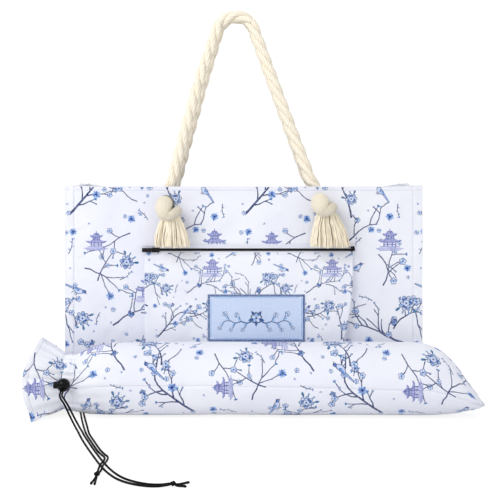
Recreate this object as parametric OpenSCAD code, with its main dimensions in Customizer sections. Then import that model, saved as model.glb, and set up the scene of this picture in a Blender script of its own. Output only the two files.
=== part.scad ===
// Soft tote case for a table game with a zipped front pocket and two knotted rope
// handles, and the drawstring sack for the rolled playing mat that lies before it.
// Millimetres, +Z up, the front faces -Y, origin under the middle of the tote's base.

/* [Tote] */
// Width of the tote over its seam fins
tote_w = 610; // [560:5:680]
// Height of the tote's panels
tote_h = 370; // [350:5:430]
// Depth of the tote, front to back
tote_d = 130; // [110:5:180]
// Thickness of the padded cloth panels
panel_t = 3; // [2:0.5:4]
// Width of the seam fins that stand past the side panels
fin_w = 15; // [10:1:20]
// Thickness of the turned seam allowance behind each fin
allowance_t = 2; // [1:0.5:3]
// Thickness of the stiff board on the base
board_t = 2.5; // [1.5:0.5:5]
// Height of the facing strip inside the rim
facing_h = 62; // [56:1:66]
// Thickness of the facing strip
facing_t = 1.2; // [0.8:0.2:2]

/* [Rope handles] */
// Diameter of the twisted rope
rope_d = 20.5; // [16:0.5:22]
// Distance from the middle of the tote to each eyelet
eyelet_x = 132.5; // [125:0.5:145]
// Depth of the eyelets below the rim
eyelet_drop = 29; // [27:0.5:32]
// Rim width of an eyelet's flange
eyelet_rim = 2.5; // [2:0.5:8]
// Length of a handle from its bend over the rim to its crown
handle_rise = 290; // [250:5:330]
// Place of the left leg where it bends over the rim
foot_left = -122; // [-128:0.5:-112]
// Place of the right leg where it bends over the rim
foot_right = 115; // [108:0.5:124]
// Place of the crown, which leans a little to the left
crown_x = -14; // [-24:1:10]
// Bend radius of the crown at the rope's middle
crown_r = 31.5; // [26:0.5:40]
// Height of the left knots
left_knot_z = 334; // [332:0.5:338]
// Height of the right knots
right_knot_z = 341; // [338:0.5:344]
// Width of a tassel at its cut end
tassel_w = 60; // [44:1:64]
// Height of the tassels' cut ends
tassel_z = 268; // [268:0.5:276]

/* [Front pocket] */
// Left edge of the pocket
pocket_left = -169; // [-200:1:-165]
// Right edge of the pocket
pocket_right = 187; // [180:1:210]
// Height of the pocket's sewn bottom edge
pocket_z = 78; // [70:1:85]
// Height of the zip's centre line
zip_z = 261.5; // [259:0.5:261.5]
// Depth of the pocket, which stands proud of the front
pocket_depth = 12; // [10:0.5:14]
// Thickness of the pocket's cloth
pocket_t = 1.5; // [1:0.1:2]
// Width of the zip's tape
tape_w = 16; // [14:1:20]
// Thickness of the zip's tape
tape_t = 1.2; // [0.8:0.1:1.4]
// Width of the zip's teeth
teeth_w = 5; // [4:0.5:5.5]
// Length of the slider
slider_l = 13; // [11:0.5:16]
// Length of the pull tab
pull_l = 20; // [16:1:24]
// Width of the label
label_w = 165; // [140:1:180]
// Height of the label
label_h = 80; // [60:1:84]
// Thickness of the label
label_t = 0.8; // [0.5:0.1:1.2]

/* [Mat sack] */
// Diameter of the filled sack
sack_d = 117; // [100:1:120]
// Thickness of the sack's cloth
sack_t = 2; // [1.5:0.25:3]
// Place of the sack's flat end seam
sack_tip = 385; // [370:1:420]
// Place where the full diameter begins to close towards the end seam
sack_taper = 314; // [290:1:330]
// Diameter of the gathered neck
neck_d = 88; // [80:1:92]
// Width of the drawcord channel round the neck
channel_w = 14; // [12:0.5:18]
// Length of the ruffle past the neck
ruffle_l = 68; // [50:1:80]
// Diameter of the ruffle at its open edge
ruffle_d = 124; // [110:1:130]
// Clearance between the sack's back and the tote that it lies against
sack_gap = 0.3; // [0.3:0.1:2]

/* [Drawcord and cord lock] */
// Diameter of the drawcord
cord_d = 3; // [2.5:0.1:3]
// Diameter of the ball lock
lock_d = 21; // [20:0.5:22]
// Diameter of the lock's push button
button_d = 11; // [10:0.5:11]
// Travel of the button
button_travel = 2.2; // [1.5:0.1:2.4]
// Diameter of the knots that join the cord's ends
cord_knot_d = 8.4; // [7.5:0.1:8.6]

/* [Hidden] */
$fn = 48;

// Clearances
cut = 1;              // how far a cutting solid runs past the face it cuts
hair = 0.01;          // the same for a sloping cut, which must keep its wall
rest_gap = 0.3;       // between soft pieces that rest on each other
fit_gap = 0.05;       // round a running part

// Tote
front_y = -tote_d / 2;
inner_w = tote_w - 2 * fin_w;
inside_d = tote_d - 2 * panel_t;
eyelet_z = tote_h - eyelet_drop;
board_inset = 3;

// Eyelets: a flange outside, a tube through the cloth and a washer inside
rope_r = rope_d / 2;
eyelet_room = 0.95;      // between the rope and the eyelet's bore
eyelet_wall = 1;
eyelet_bore_r = rope_r + eyelet_room;
eyelet_tube_r = eyelet_bore_r + eyelet_wall;
eyelet_flange_r = eyelet_tube_r + eyelet_rim;
eyelet_flange_t = 1.5;
washer_t = 1.2;

// Handles: each leg rises inside the rim and bends over it at the hinge line
riser_y = inside_d / 2 - facing_t - washer_t - rest_gap - rope_r;
rim_room = 1.75;         // between the rim and the rope when a handle lies over it
foot_gap = 0.35;         // between a leg and the rounded end that it turns on
crown_gap = 0.2;         // from each crown to the middle plane between the handles
hinge_z = tote_h + rope_r + rim_room;
leg_gap = rope_r + foot_gap;
crown_y = rope_r + crown_gap;
handle_lean = asin((riser_y - crown_y) / handle_rise);
crown_v = handle_rise - crown_r;
crown_steps = 16;
rope_sides = 16;
end_step = 15;           // degrees between the rings of a rope end's bend and dome

// Knots: two turns of rope, set just in front of the eyelets
turn_slack = 0.75;       // how much wider a turn lies than the rope it goes round
knot_r = 2 * rope_r + turn_slack;
knot_tilt = 32;
knot_groove = 3;
lobe_share = 0.56;       // of the knot's radius
rise_share = 0.72;       // of a lobe's radius
lobe_r = lobe_share * knot_r;
lobe_rise = rise_share * lobe_r;
knot_reach = norm([knot_r - lobe_r, lobe_rise]) + lobe_r;
knot_y = tote_d / 2 + eyelet_flange_t + rest_gap + knot_r;
left_knot_in = 7;        // how far the pull of the handle shifts each knot off its eyelet
right_knot_out = 3.5;
left_knot_x = eyelet_x - left_knot_in;
right_knot_x = eyelet_x + right_knot_out;
strand_top_r = 8;
strand_end_r = 11;

// Pocket
pocket_lip = 2;          // between the pocket's top edge and the zip's teeth
pocket_top = zip_z - teeth_w / 2 - pocket_lip;
hem_h = 6;               // height of the sewn hem at the pocket's foot
hem_lean = 1;            // how far the hem leans out over its height
bulge_low = pocket_z + 26;
bulge_high = zip_z - 40;
fold_low = 0.8;          // offsets of the cloth's inner face at the bulge's two folds
fold_high = 0.5;
cheek_gap = 1;           // between the pocket's cheeks and the zip's tape
tape_over = 3;
teeth_t = 2;
zip_left = pocket_left + 8;
zip_right = pocket_right - 1;
stop_l = 3;
stop_proud = 0.6;
slider_clear = 0.3;
slider_wall = 1.2;
slider_plate_t = 2;
slider_rest = 1.5;
slider_left = zip_left + stop_l + slider_rest;
slider_face = tape_t + teeth_t + slider_clear + slider_plate_t;
pull_t = 1.6;
pull_lug = 1;
pull_pin_r = 0.8;
pull_eye_r = 1.6;
pull_clear = 0.15;       // between the pull's eye and the slider's face
pull_axis = slider_face + pull_eye_r + pull_clear;
pull_x = slider_left + 3.5;
pull_w = 7;
ear_l = 4;               // length of the pull's two ears
lug_half = 1;            // half the width of a lug
lug_over = 0.5;          // how far a lug's head stands past the pin
label_left = -61;
label_z = 107;

// Sack: it lies along X on the same surface as the tote, its round underside cut flat
sack_r = sack_d / 2;
sack_sink = 1;           // how much of the underside is cut flat
sack_axis_z = sack_r - sack_sink;
sack_y = front_y - sack_gap - sack_r;
seam_drop = 3;           // how far the cut between the two cloths lies below the axis
seam_z = sack_axis_z - seam_drop;
neck_r = neck_d / 2;
channel_right = -278;
channel_left = channel_right - channel_w;
channel_x = (channel_right + channel_left) / 2;
shoulder_l = 38;         // from the neck to the full diameter
shoulder_x = channel_right + shoulder_l;
taper_slice = 0.5;       // thin disc that the closing end starts from
tip_low = 20;
tip_high = 31;
tip_half = 55;
tip_corner = 18;
channel_wall = 1.1;
cavity_room = 0.4;
cavity_h = cord_d + cavity_room;
cavity_r = neck_r - channel_wall - cavity_h;
cavity_w = 2 * (cord_d + cavity_room);
turn_gap = 0.3;          // between the two turns of cord
exit_room = 0.6;
exit_r = cord_d + exit_room;

// Drawcord: two strands side by side leave each exit
strand_x = 1.7;
exit_a_z = 67;
exit_b_x = -285;
exit_b_y = -104;
lock_x = -283.8;
lock_z = 60;
lock_tilt = 60;          // how far the bore leans forward from upright
lock_r = lock_d / 2;
lock_gap = 2.5;          // between the lock and the neck
lock_y = sack_y - neck_r - lock_r - lock_gap;
bore_room = 0.1;
lock_bore_r = cord_d / 2 + bore_room;
button_r = button_d / 2;
button_head = 4.5;
button_end = 4.8;
spring_solid = 1;        // length of the spring with the button pressed
spring_room = button_travel + spring_solid;
spring_r = button_r - 1.5;
spring_wire = 0.7;
slot_half = strand_x + lock_bore_r;

// Routes of the four strands. Each lies on the surface after its first bend.
route_a_left = [
  [-285.5, -166.2, 67], [-285.5, -167.9, 66.9], [-285.5, -169.3, 66.5],
  [-285.5, -170.5, 65.9], [-285.5, -199.4, 49.25], [-282.4, -205.1, 44.6],
  [-277.9, -208, 39.4], [-273.8, -209.5, 32.8], [-268.7, -211, 22.8],
  [-262.8, -214, 12.9], [-255.7, -222, 4.7], [-250.6, -232, 2.3],
  [-244.5, -248.2, 1.5], [-236, -271, 1.5], [-222, -306, 1.5], [-208, -339, 1.5],
  [-195, -369, 1.5], [-180, -399, 1.5], [-163, -424, 1.5], [-144, -440, 1.5],
  [-123, -449, 1.5], [-106, -451, 1.8], [-92, -449.8, 3.4]
];
route_a_right = [
  [-282.1, -166.2, 67], [-282.1, -167.9, 66.9], [-282.1, -169.3, 66.5],
  [-282.1, -170.5, 65.9], [-282.1, -199.4, 49.25], [-277.6, -205, 44.7],
  [-273.2, -207.5, 39.2], [-268.8, -209, 32.7], [-263.2, -210.5, 22.6],
  [-257, -213.5, 12.7], [-249.8, -221.2, 4.8], [-244.4, -231, 2.1],
  [-238.6, -246.5, 1.5], [-230, -268, 1.5], [-216, -303, 1.5], [-202, -336, 1.5],
  [-189, -365, 1.5], [-174, -394, 1.5], [-158, -417.5, 1.5], [-140.5, -433, 1.5],
  [-121.5, -442.5, 1.5], [-105, -445.5, 1.8], [-92, -446.3, 3.4]
];
route_b_left = [
  [-286.7, -104, 18.7], [-286.7, -104, 12], [-285.2, -105.6, 5], [-280, -109.8, 1.8],
  [-273.5, -115.5, 1.5], [-268, -125, 1.5], [-262.5, -146, 1.5], [-256, -172, 1.5],
  [-246.5, -207, 1.5], [-236.6, -240, 1.5], [-222.6, -276, 1.5], [-212.2, -302, 1.5],
  [-205.5, -318, 1.5], [-198, -333, 1.8], [-192.5, -345, 3.2], [-189.5, -357, 4.8],
  [-189, -367, 5.1], [-190.5, -377, 5.1], [-191.8, -385, 3.8], [-192, -393, 2.2],
  [-191.5, -402, 2.6], [-191.7, -409.6, 3.8]
];
route_b_right = [
  [-283.3, -104, 18.7], [-283.3, -104, 12], [-281, -104.2, 5], [-275.5, -106.4, 1.8],
  [-269, -112, 1.5], [-263.8, -123, 1.5], [-258.3, -143, 1.5], [-250.5, -172, 1.5],
  [-241, -207, 1.5], [-232.3, -238.5, 1.5], [-218.4, -274.3, 1.5], [-208, -300.3, 1.5],
  [-201.3, -316, 1.5], [-193.8, -331, 1.8], [-188, -343.5, 3.2], [-185.2, -356, 4.8],
  [-184.8, -368, 5.1], [-186.2, -379, 5.1], [-187.2, -388, 5.1], [-187.4, -395, 3.2],
  [-188, -402, 2.8], [-188.5, -409.7, 3.8]
];
knot_a = [-87.2, -448, 4.2];
knot_b = [-190, -414.6, 4.2];
knot_gap = 0.1;          // between a knot and its cut tails
tails_a = [[-68, -437, 1.5], [-71, -451, 1.5]];
tails_b = [[-193, -441, 1.5], [-188, -443, 1.5]];

// ---- Helpers ----

// A box between two corners
module block(low, high) {
  translate(low) cube(high - low);
}

// A round rod from one point to another
module rod(from, to, r1, r2) {
  run = to - from;
  translate(from)
    rotate([0, acos(run[2] / norm(run)), atan2(run[1], run[0])])
      cylinder(h = norm(run), r1 = r1, r2 = r2);
}

// A disc or tube that points out of the front, from one depth to another
module out_of_front(x, z, from, to, r) {
  translate([x, -from, z]) rotate([90, 0, 0]) cylinder(h = to - from, r = r);
}

// A copy for the back of the tote
module at_back() {
  mirror([0, 1, 0]) children();
}

// Directions and frames along a route, for the swept cord
function unit(v) = v / norm(v);
function along(route, i) =
  unit(route[min(i + 1, len(route) - 1)] - route[max(i - 1, 0)]);
function sideways(route, i, last) =
  unit(last - (last * along(route, i)) * along(route, i));
function frames(route, i = 0, last = [0.9, 0.3, 0.3], out = []) =
  i == len(route) ? out :
  let (side = sideways(route, i, last))
    frames(route, i + 1, side, concat(out, [[side, cross(along(route, i), side)]]));

// A round tube swept along a route, with a radius at each of its points
module tube(route, radii, sides) {
  turns = frames(route);
  last = len(route) - 1;
  ring = [for (i = [0:last], k = [0:sides - 1])
    route[i] + radii[i] * (cos(360 * k / sides) * turns[i][0]
                           + sin(360 * k / sides) * turns[i][1])];
  skin = [for (i = [0:last - 1], k = [0:sides - 1])
    let (a = i * sides + k, b = i * sides + (k + 1) % sides)
      each [[a, a + sides, b], [b, a + sides, b + sides]]];
  start = [for (k = [1:sides - 2]) [0, k, k + 1]];
  end = [for (k = [1:sides - 2]) [last * sides, last * sides + k + 1, last * sides + k]];
  polyhedron(points = ring, faces = concat(skin, start, end), convexity = 10);
}

module cord(route) {
  color("black") tube(route, [for (p = route) cord_d / 2], 8);
}

// ---- Tote ----

module eyelet_holes(r) {
  for (x = [-eyelet_x, eyelet_x])
    out_of_front(x, eyelet_z, inside_d / 2 - facing_t - cut, tote_d / 2 + cut, r);
}

module front_panel() {
  color("lavender") difference() {
    block([-tote_w / 2, front_y, 0], [tote_w / 2, front_y + panel_t, tote_h]);
    eyelet_holes(eyelet_tube_r);
  }
}

module gusset() {
  color("ghostwhite")
    block([inner_w / 2 - panel_t, front_y + panel_t, 0],
          [inner_w / 2, -front_y - panel_t, tote_h]);
}

module base_panel() {
  color("ghostwhite")
    block([-inner_w / 2 + panel_t, -inside_d / 2, 0],
          [inner_w / 2 - panel_t, inside_d / 2, panel_t]);
}

module base_board() {
  edge_x = inner_w / 2 - panel_t - board_inset;
  edge_y = inside_d / 2 - board_inset;
  color("gray")
    block([-edge_x, -edge_y, panel_t], [edge_x, edge_y, panel_t + board_t]);
}

module rim_facing() {
  outer_x = inner_w / 2 - panel_t;
  outer_y = inside_d / 2;
  color("white") difference() {
    block([-outer_x, -outer_y, tote_h - facing_h], [outer_x, outer_y, tote_h]);
    block([-outer_x + facing_t, -outer_y + facing_t, tote_h - facing_h - cut],
          [outer_x - facing_t, outer_y - facing_t, tote_h + cut]);
    eyelet_holes(eyelet_tube_r);
    at_back() eyelet_holes(eyelet_tube_r);
  }
}

module seam_allowances() {
  color("white")
    for (side = [0, 1], back = [0, 1])
      mirror([side, 0, 0]) mirror([0, back, 0])
        block([inner_w / 2, front_y + panel_t, 0],
              [tote_w / 2, front_y + panel_t + allowance_t, tote_h]);
}

module eyelets() {
  tube_in = inside_d / 2 - facing_t - washer_t;
  color("dimgray")
    for (x = [-eyelet_x, eyelet_x])
      difference() {
        union() {
          out_of_front(x, eyelet_z, tote_d / 2, tote_d / 2 + eyelet_flange_t, eyelet_flange_r);
          out_of_front(x, eyelet_z, tube_in, tote_d / 2 + cut / 2, eyelet_tube_r - fit_gap);
          out_of_front(x, eyelet_z, tube_in, tube_in + washer_t, eyelet_flange_r);
        }
        out_of_front(x, eyelet_z, tube_in - cut, tote_d / 2 + eyelet_flange_t + cut, eyelet_bore_r);
      }
}

// ---- Rope handles ----

// The knot in front of an eyelet: two turns of rope pulled tight on each other
module knot_turns() {
  rotate_extrude() intersection() {
    union() {
      for (side = [-1, 1])
        translate([knot_r - lobe_r, side * lobe_rise]) circle(lobe_r);
      translate([0, -lobe_rise - lobe_r]) square([knot_r - lobe_r, 2 * (lobe_rise + lobe_r)]);
      translate([0, -lobe_rise]) square([knot_r - knot_groove, 2 * lobe_rise]);
    }
    translate([0, -knot_reach]) square([knot_r, 2 * knot_reach]);
  }
}

// The rope behind a knot: through the eyelet, then up inside the rim to its bend
module rope_end(side, foot) {
  x = side * eyelet_x;
  bend = rope_r + turn_slack;
  start = [[x, -tote_d / 2 - eyelet_flange_t - rest_gap / 2, eyelet_z]];
  elbow = [for (a = [0:end_step:90])
    [x, -riser_y - bend + bend * sin(a), eyelet_z + bend - bend * cos(a)]];
  dome = [for (a = [0:end_step:90 - end_step]) [foot, -riser_y, hinge_z + rope_r * sin(a)]];
  tube(concat(start, elbow, dome),
       concat([for (p = concat(start, elbow)) rope_r],
              [for (a = [0:end_step:90 - end_step]) rope_r * cos(a)]),
       rope_sides);
}

module knot(side, knot_x, knot_z, foot) {
  color("antiquewhite") {
    translate([side * knot_x, -knot_y, knot_z])
      rotate([0, side * knot_tilt, 0]) knot_turns();
    rope_end(side, foot);
  }
}

module left_knot() {
  knot(-1, left_knot_x, left_knot_z, foot_left);
}

module right_knot() {
  knot(1, right_knot_x, right_knot_z, foot_right);
}

// The unlaid strands below a knot, cut level
module tassel(x, knot_z) {
  top = knot_z - knot_reach - rest_gap;
  spread = tassel_w / 2 - strand_end_r;
  color("antiquewhite") intersection() {
    union()
      for (lean = [-1, 0, 1])
        rod([x + lean * strand_top_r, -knot_y, top + cut],
            [x + lean * spread, -knot_y, tassel_z - 2 * cut], strand_top_r, strand_end_r);
    block([x - tassel_w, -knot_y - 2 * strand_end_r, tassel_z],
          [x + tassel_w, -knot_y + 2 * strand_end_r, top]);
  }
}

// How far a leg leans from upright to meet the crown's arc
function leg_lean(foot) =
  let (dx = abs(foot - crown_x))
    atan(dx / crown_v) - asin(crown_r / norm([dx, crown_v]));

module handle() {
  left = leg_lean(foot_left);
  right = leg_lean(foot_right);
  arc = [for (i = [0:crown_steps]) right + (180 - left - right) * i / crown_steps];
  flat_route = concat(
    [[foot_right - leg_gap * sin(right), leg_gap * cos(right)]],
    [for (a = arc) [crown_x + crown_r * cos(a), crown_v + crown_r * sin(a)]],
    [[foot_left + leg_gap * sin(left), leg_gap * cos(left)]]);
  route = [for (p = flat_route)
    [p[0], p[1] * sin(handle_lean) - riser_y, p[1] * cos(handle_lean) + hinge_z]];
  color("antiquewhite") tube(route, [for (p = route) rope_r], rope_sides);
}

// ---- Front pocket ----

// A section through the pocket is drawn as depth in front of the tote and height
module section(from, to, points) {
  translate([from, front_y, 0]) rotate([90, 0, 90])
    linear_extrude(to - from) polygon([for (p = points) [-p[0], p[1]]]);
}

module pocket_panel() {
  cheek_top = zip_z - tape_w / 2 - cheek_gap;
  outer = [[pocket_t, pocket_z], [pocket_t + hem_lean, pocket_z + hem_h],
           [pocket_depth, bulge_low], [pocket_depth, bulge_high], [2 * pocket_t, pocket_top]];
  inner = [[pocket_t, pocket_top], [pocket_depth - pocket_t, bulge_high - fold_high],
           [pocket_depth - pocket_t, bulge_low + fold_low],
           [0, pocket_z + hem_h - hem_lean], [0, pocket_z]];
  cheek = concat(outer, [[pocket_t, pocket_top], [pocket_t, cheek_top],
                         [0, cheek_top], [0, pocket_z]]);
  color("aliceblue") {
    section(pocket_left, pocket_right, concat(outer, inner));
    section(pocket_left, pocket_left + pocket_t, cheek);
    section(pocket_right - pocket_t, pocket_right, cheek);
  }
}

module zip_tape() {
  color("black")
    section(pocket_left - tape_over, pocket_right + tape_over,
            [[0, zip_z - tape_w / 2], [tape_t, zip_z - tape_w / 2],
             [tape_t, zip_z + tape_w / 2], [0, zip_z + tape_w / 2]]);
}

module zip_bar(from, to, w, t) {
  section(from, to, [[tape_t, zip_z - w / 2], [tape_t + t, zip_z - w / 2],
                     [tape_t + t, zip_z + w / 2], [tape_t, zip_z + w / 2]]);
}

module zip_teeth() {
  color("black") zip_bar(zip_left + stop_l, zip_right - stop_l, teeth_w, teeth_t);
}

module zip_stops() {
  color("dimgray") {
    zip_bar(zip_left, zip_left + stop_l, teeth_w + 2 * stop_proud, teeth_t + stop_proud);
    zip_bar(zip_right - stop_l, zip_right, teeth_w + 2 * stop_proud, teeth_t + stop_proud);
  }
}

// The slider straddles the teeth and carries the pull's pin between two lugs
module zip_slider() {
  half = teeth_w / 2 + slider_clear;
  back = tape_t + slider_clear;
  front = slider_face - slider_plate_t;
  lug_top = pull_w / 2 - pull_lug - slider_clear;
  lug_z = lug_top - pull_lug / 2;
  color("black") {
    section(slider_left, slider_left + slider_l,
            [[front, zip_z - half], [back, zip_z - half],
             [back, zip_z - half - slider_wall], [slider_face, zip_z - half - slider_wall],
             [slider_face, zip_z + half + slider_wall], [back, zip_z + half + slider_wall],
             [back, zip_z + half], [front, zip_z + half]]);
    for (side = [-1, 1])
      translate([pull_x, front_y - pull_axis, zip_z + side * lug_z])
        cylinder(h = pull_lug, r = pull_pin_r + lug_over, center = true);
    for (side = [-1, 1])
      block([pull_x - lug_half, front_y - pull_axis, zip_z + side * lug_z - pull_lug / 2],
            [pull_x + lug_half, front_y - slider_face + cut / 2,
             zip_z + side * lug_z + pull_lug / 2]);
    translate([pull_x, front_y - pull_axis, zip_z])
      cylinder(h = pull_w, r = pull_pin_r, center = true);
  }
}

// The pull tab hangs on the pin by two ears and lies along the zip at rest
module zip_pull() {
  ear_z = (pull_w - pull_lug) / 2;
  color("black")
    translate([pull_x, front_y - pull_axis, zip_z])
      difference() {
        union() {
          for (side = [-1, 1])
            translate([0, 0, side * ear_z])
              cylinder(h = pull_lug, r = pull_eye_r, center = true);
          for (side = [-1, 1])
            block([-ear_l, -pull_t / 2, side * ear_z - pull_lug / 2],
                  [0, pull_t / 2, side * ear_z + pull_lug / 2]);
          block([-pull_l, -pull_t / 2, -pull_w / 2], [-ear_l, pull_t / 2, pull_w / 2]);
        }
        cylinder(h = pull_w + 2 * cut, r = pull_pin_r + fit_gap, center = true);
      }
}

module label_patch() {
  color("lightsteelblue")
    section(label_left, label_left + label_w,
            [[pocket_depth, label_z], [pocket_depth + label_t, label_z],
             [pocket_depth + label_t, label_z + label_h], [pocket_depth, label_z + label_h]]);
}

// ---- Mat sack ----

// A solid of revolution about the sack's own axis
module along_sack(x) {
  translate([x, sack_y, sack_axis_z]) rotate([0, 90, 0]) children();
}

// The filled shape of the sack, drawn in by a wall's thickness
module sack_form(inset) {
  along_sack(channel_right - (inset > 0 ? cut : 0))
    cylinder(h = shoulder_x - channel_right + (inset > 0 ? cut : 0),
             r1 = neck_r - inset, r2 = sack_r - inset);
  along_sack(shoulder_x) cylinder(h = sack_taper - shoulder_x, r = sack_r - inset);
  hull() {
    along_sack(sack_taper - taper_slice) cylinder(h = taper_slice, r = sack_r - inset);
    for (side = [-1, 1])
      translate([sack_tip - tip_corner - inset, sack_y + side * (tip_half - tip_corner),
                 tip_low + inset])
        cylinder(h = tip_high - tip_low - 2 * inset, r = tip_corner);
  }
}

module sack_shell() {
  difference() {
    sack_form(0);
    sack_form(sack_t);
    block([channel_left, sack_y - sack_d, -sack_d], [sack_tip + cut, sack_y + sack_d, 0]);
  }
}

module sack_upper() {
  color("lavender") intersection() {
    sack_shell();
    block([channel_left, sack_y - sack_d, seam_z], [sack_tip + cut, sack_y + sack_d, 2 * sack_d]);
  }
}

module sack_lower() {
  color("ghostwhite") difference() {
    sack_shell();
    block([channel_left, sack_y - sack_d, seam_z], [sack_tip + cut, sack_y + sack_d, 2 * sack_d]);
  }
}

// The channel is a hollow band; the drawcords leave it at the front and underneath
module neck_channel() {
  color("white") difference() {
    along_sack(channel_left) cylinder(h = channel_w, r = neck_r);
    along_sack(channel_left - cut)
      cylinder(h = channel_w + 2 * cut, r = cavity_r - channel_wall);
    along_sack(channel_x - cavity_w / 2) difference() {
      cylinder(h = cavity_w, r = cavity_r + cavity_h);
      translate([0, 0, -cut]) cylinder(h = cavity_w + 2 * cut, r = cavity_r);
    }
    translate([lock_x, sack_y, exit_a_z]) rotate([90, 0, 0]) cylinder(h = neck_r, r = exit_r);
    translate([exit_b_x, exit_b_y, sack_axis_z - neck_r]) cylinder(h = neck_r / 2, r = exit_r);
  }
}

// The two turns of drawcord inside the channel
module channel_cords() {
  color("black")
    for (side = [-1, 1])
      along_sack(channel_x + side * (cord_d + turn_gap) / 2)
        rotate_extrude() translate([cavity_r + cavity_h / 2, 0]) circle(cord_d / 2);
}

module ruffle() {
  color("lavender") difference() {
    along_sack(channel_left - ruffle_l) cylinder(h = ruffle_l, r1 = ruffle_d / 2, r2 = neck_r);
    along_sack(channel_left - ruffle_l - hair)
      cylinder(h = ruffle_l + 2 * hair, r1 = ruffle_d / 2 - sack_t, r2 = neck_r - sack_t);
    block([channel_left - ruffle_l - cut, sack_y - sack_d, -sack_d],
          [channel_left + cut, sack_y + sack_d, 0]);
  }
}

// ---- Drawcords ----

// The knot that joins two strands, with their cut tails on the surface beside it
module cord_knot(centre, tails) {
  knot_side = cord_knot_d / 2 + knot_gap;
  color("black") {
    translate(centre) sphere(cord_knot_d / 2);
    for (end = tails) {
      away = unit([end[0] - centre[0], end[1] - centre[1], 0]);
      rod([centre[0], centre[1], end[2]] + knot_side * away, end, cord_d / 2, cord_d / 2);
    }
  }
}

// ---- Cord lock ----

module in_lock() {
  translate([lock_x, lock_y, lock_z]) rotate([-lock_tilt, 0, 0]) children();
}

module cord_lock_body() {
  button_bore = button_end + spring_room;
  color("black")
    in_lock() difference() {
      rotate([0, 90, 0]) rotate_extrude() difference() {
        circle(lock_r);
        translate([-lock_d, -lock_d]) square([lock_d, 2 * lock_d]);
        translate([0, button_bore - 2 * lock_d]) square([button_r + fit_gap, 2 * lock_d]);
      }
      block([-slot_half, -lock_bore_r, -lock_d], [slot_half, lock_bore_r, lock_d]);
    }
}

module cord_lock_button() {
  head_x = -lock_r - button_head;
  color("dimgray")
    in_lock() difference() {
      translate([head_x, 0, 0]) rotate([0, 90, 0]) cylinder(h = button_end - head_x, r = button_r);
      block([-slot_half - button_travel - 2 * fit_gap, -lock_bore_r, -lock_d],
            [slot_half + 2 * fit_gap, lock_bore_r, lock_d]);
    }
}

module cord_lock_spring() {
  color("silver")
    in_lock() translate([button_end, 0, 0]) rotate([0, 90, 0]) difference() {
      cylinder(h = spring_room, r = spring_r);
      translate([0, 0, -cut]) cylinder(h = spring_room + 2 * cut, r = spring_r - spring_wire);
    }
}

front_panel();
at_back() front_panel();  // rear_panel
mirror([1, 0, 0]) gusset();  // left_gusset
gusset();  // right_gusset
base_panel();
base_board();
rim_facing();
seam_allowances();
eyelets();  // front_eyelets
at_back() eyelets();  // rear_eyelets
left_knot();  // front_left_knot
right_knot();  // front_right_knot
at_back() left_knot();  // rear_left_knot
at_back() right_knot();  // rear_right_knot
tassel(-left_knot_x, left_knot_z);  // front_left_tassel
tassel(right_knot_x, right_knot_z);  // front_right_tassel
at_back() tassel(-left_knot_x, left_knot_z);  // rear_left_tassel
at_back() tassel(right_knot_x, right_knot_z);  // rear_right_tassel
handle();  // front_handle
at_back() handle();  // rear_handle
pocket_panel();
zip_tape();
zip_teeth();
zip_stops();
zip_slider();
zip_pull();
label_patch();
sack_upper();
sack_lower();
neck_channel();
channel_cords();
ruffle();
cord(route_a_left);  // drawcord_a_left
cord(route_a_right);  // drawcord_a_right
cord_knot(knot_a, tails_a);  // drawcord_a_knot
cord(route_b_left);  // drawcord_b_left
cord(route_b_right);  // drawcord_b_right
cord_knot(knot_b, tails_b);  // drawcord_b_knot
cord_lock_body();
cord_lock_button();
cord_lock_spring();
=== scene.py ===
import math, random
import bmesh, bpy
import numpy as np
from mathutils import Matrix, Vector
from mathutils.geometry import delaunay_2d_cdt


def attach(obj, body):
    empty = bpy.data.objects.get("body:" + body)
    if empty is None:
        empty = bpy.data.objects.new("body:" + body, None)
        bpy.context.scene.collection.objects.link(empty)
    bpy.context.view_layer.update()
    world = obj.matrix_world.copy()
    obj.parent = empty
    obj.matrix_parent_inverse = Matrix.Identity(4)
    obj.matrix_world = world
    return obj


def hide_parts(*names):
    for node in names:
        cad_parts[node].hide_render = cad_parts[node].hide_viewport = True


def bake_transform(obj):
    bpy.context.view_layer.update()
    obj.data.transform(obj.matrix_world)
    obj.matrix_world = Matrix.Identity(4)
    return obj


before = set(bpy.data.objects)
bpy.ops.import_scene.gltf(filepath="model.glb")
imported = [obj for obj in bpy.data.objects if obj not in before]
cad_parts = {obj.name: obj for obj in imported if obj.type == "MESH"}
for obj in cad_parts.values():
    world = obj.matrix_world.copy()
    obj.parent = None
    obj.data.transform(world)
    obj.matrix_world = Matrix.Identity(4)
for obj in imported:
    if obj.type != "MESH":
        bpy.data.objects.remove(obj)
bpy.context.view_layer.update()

# Soft tote for a table game with its rolled-mat sack. Piece sizes below are in
# millimetres, as in the part's source, and meshes are written in metres.
mm = 0.001
pi = math.pi
scene = bpy.context.scene


def say(words):
    print("scene:", words)


def linked(name, data):
    thing = bpy.data.objects.new(name, data)
    scene.collection.objects.link(thing)
    return thing


# camera
view = {"place": (0.0108, -1.565, 0.42), "lens": 63.144, "sensor": 36, "shiftUp": -0.186}

cameraData = bpy.data.cameras.new("camera")
cameraData.lens = view["lens"]
cameraData.sensor_width = view["sensor"]
cameraData.shift_y = view["shiftUp"]
camera = linked("camera", cameraData)
camera.location = view["place"]
camera.rotation_euler = (pi / 2, 0, 0)
scene.camera = camera


# small maths
def asRows(*columns):
    # one row for each point
    return np.stack(np.broadcast_arrays(*columns), axis=1)


def roundTurn(count):
    return np.arange(count) * 2 * pi / count


def lengths(path):
    return np.concatenate([[0], np.cumsum(np.linalg.norm(np.diff(path, axis=0), axis=1))])


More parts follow.
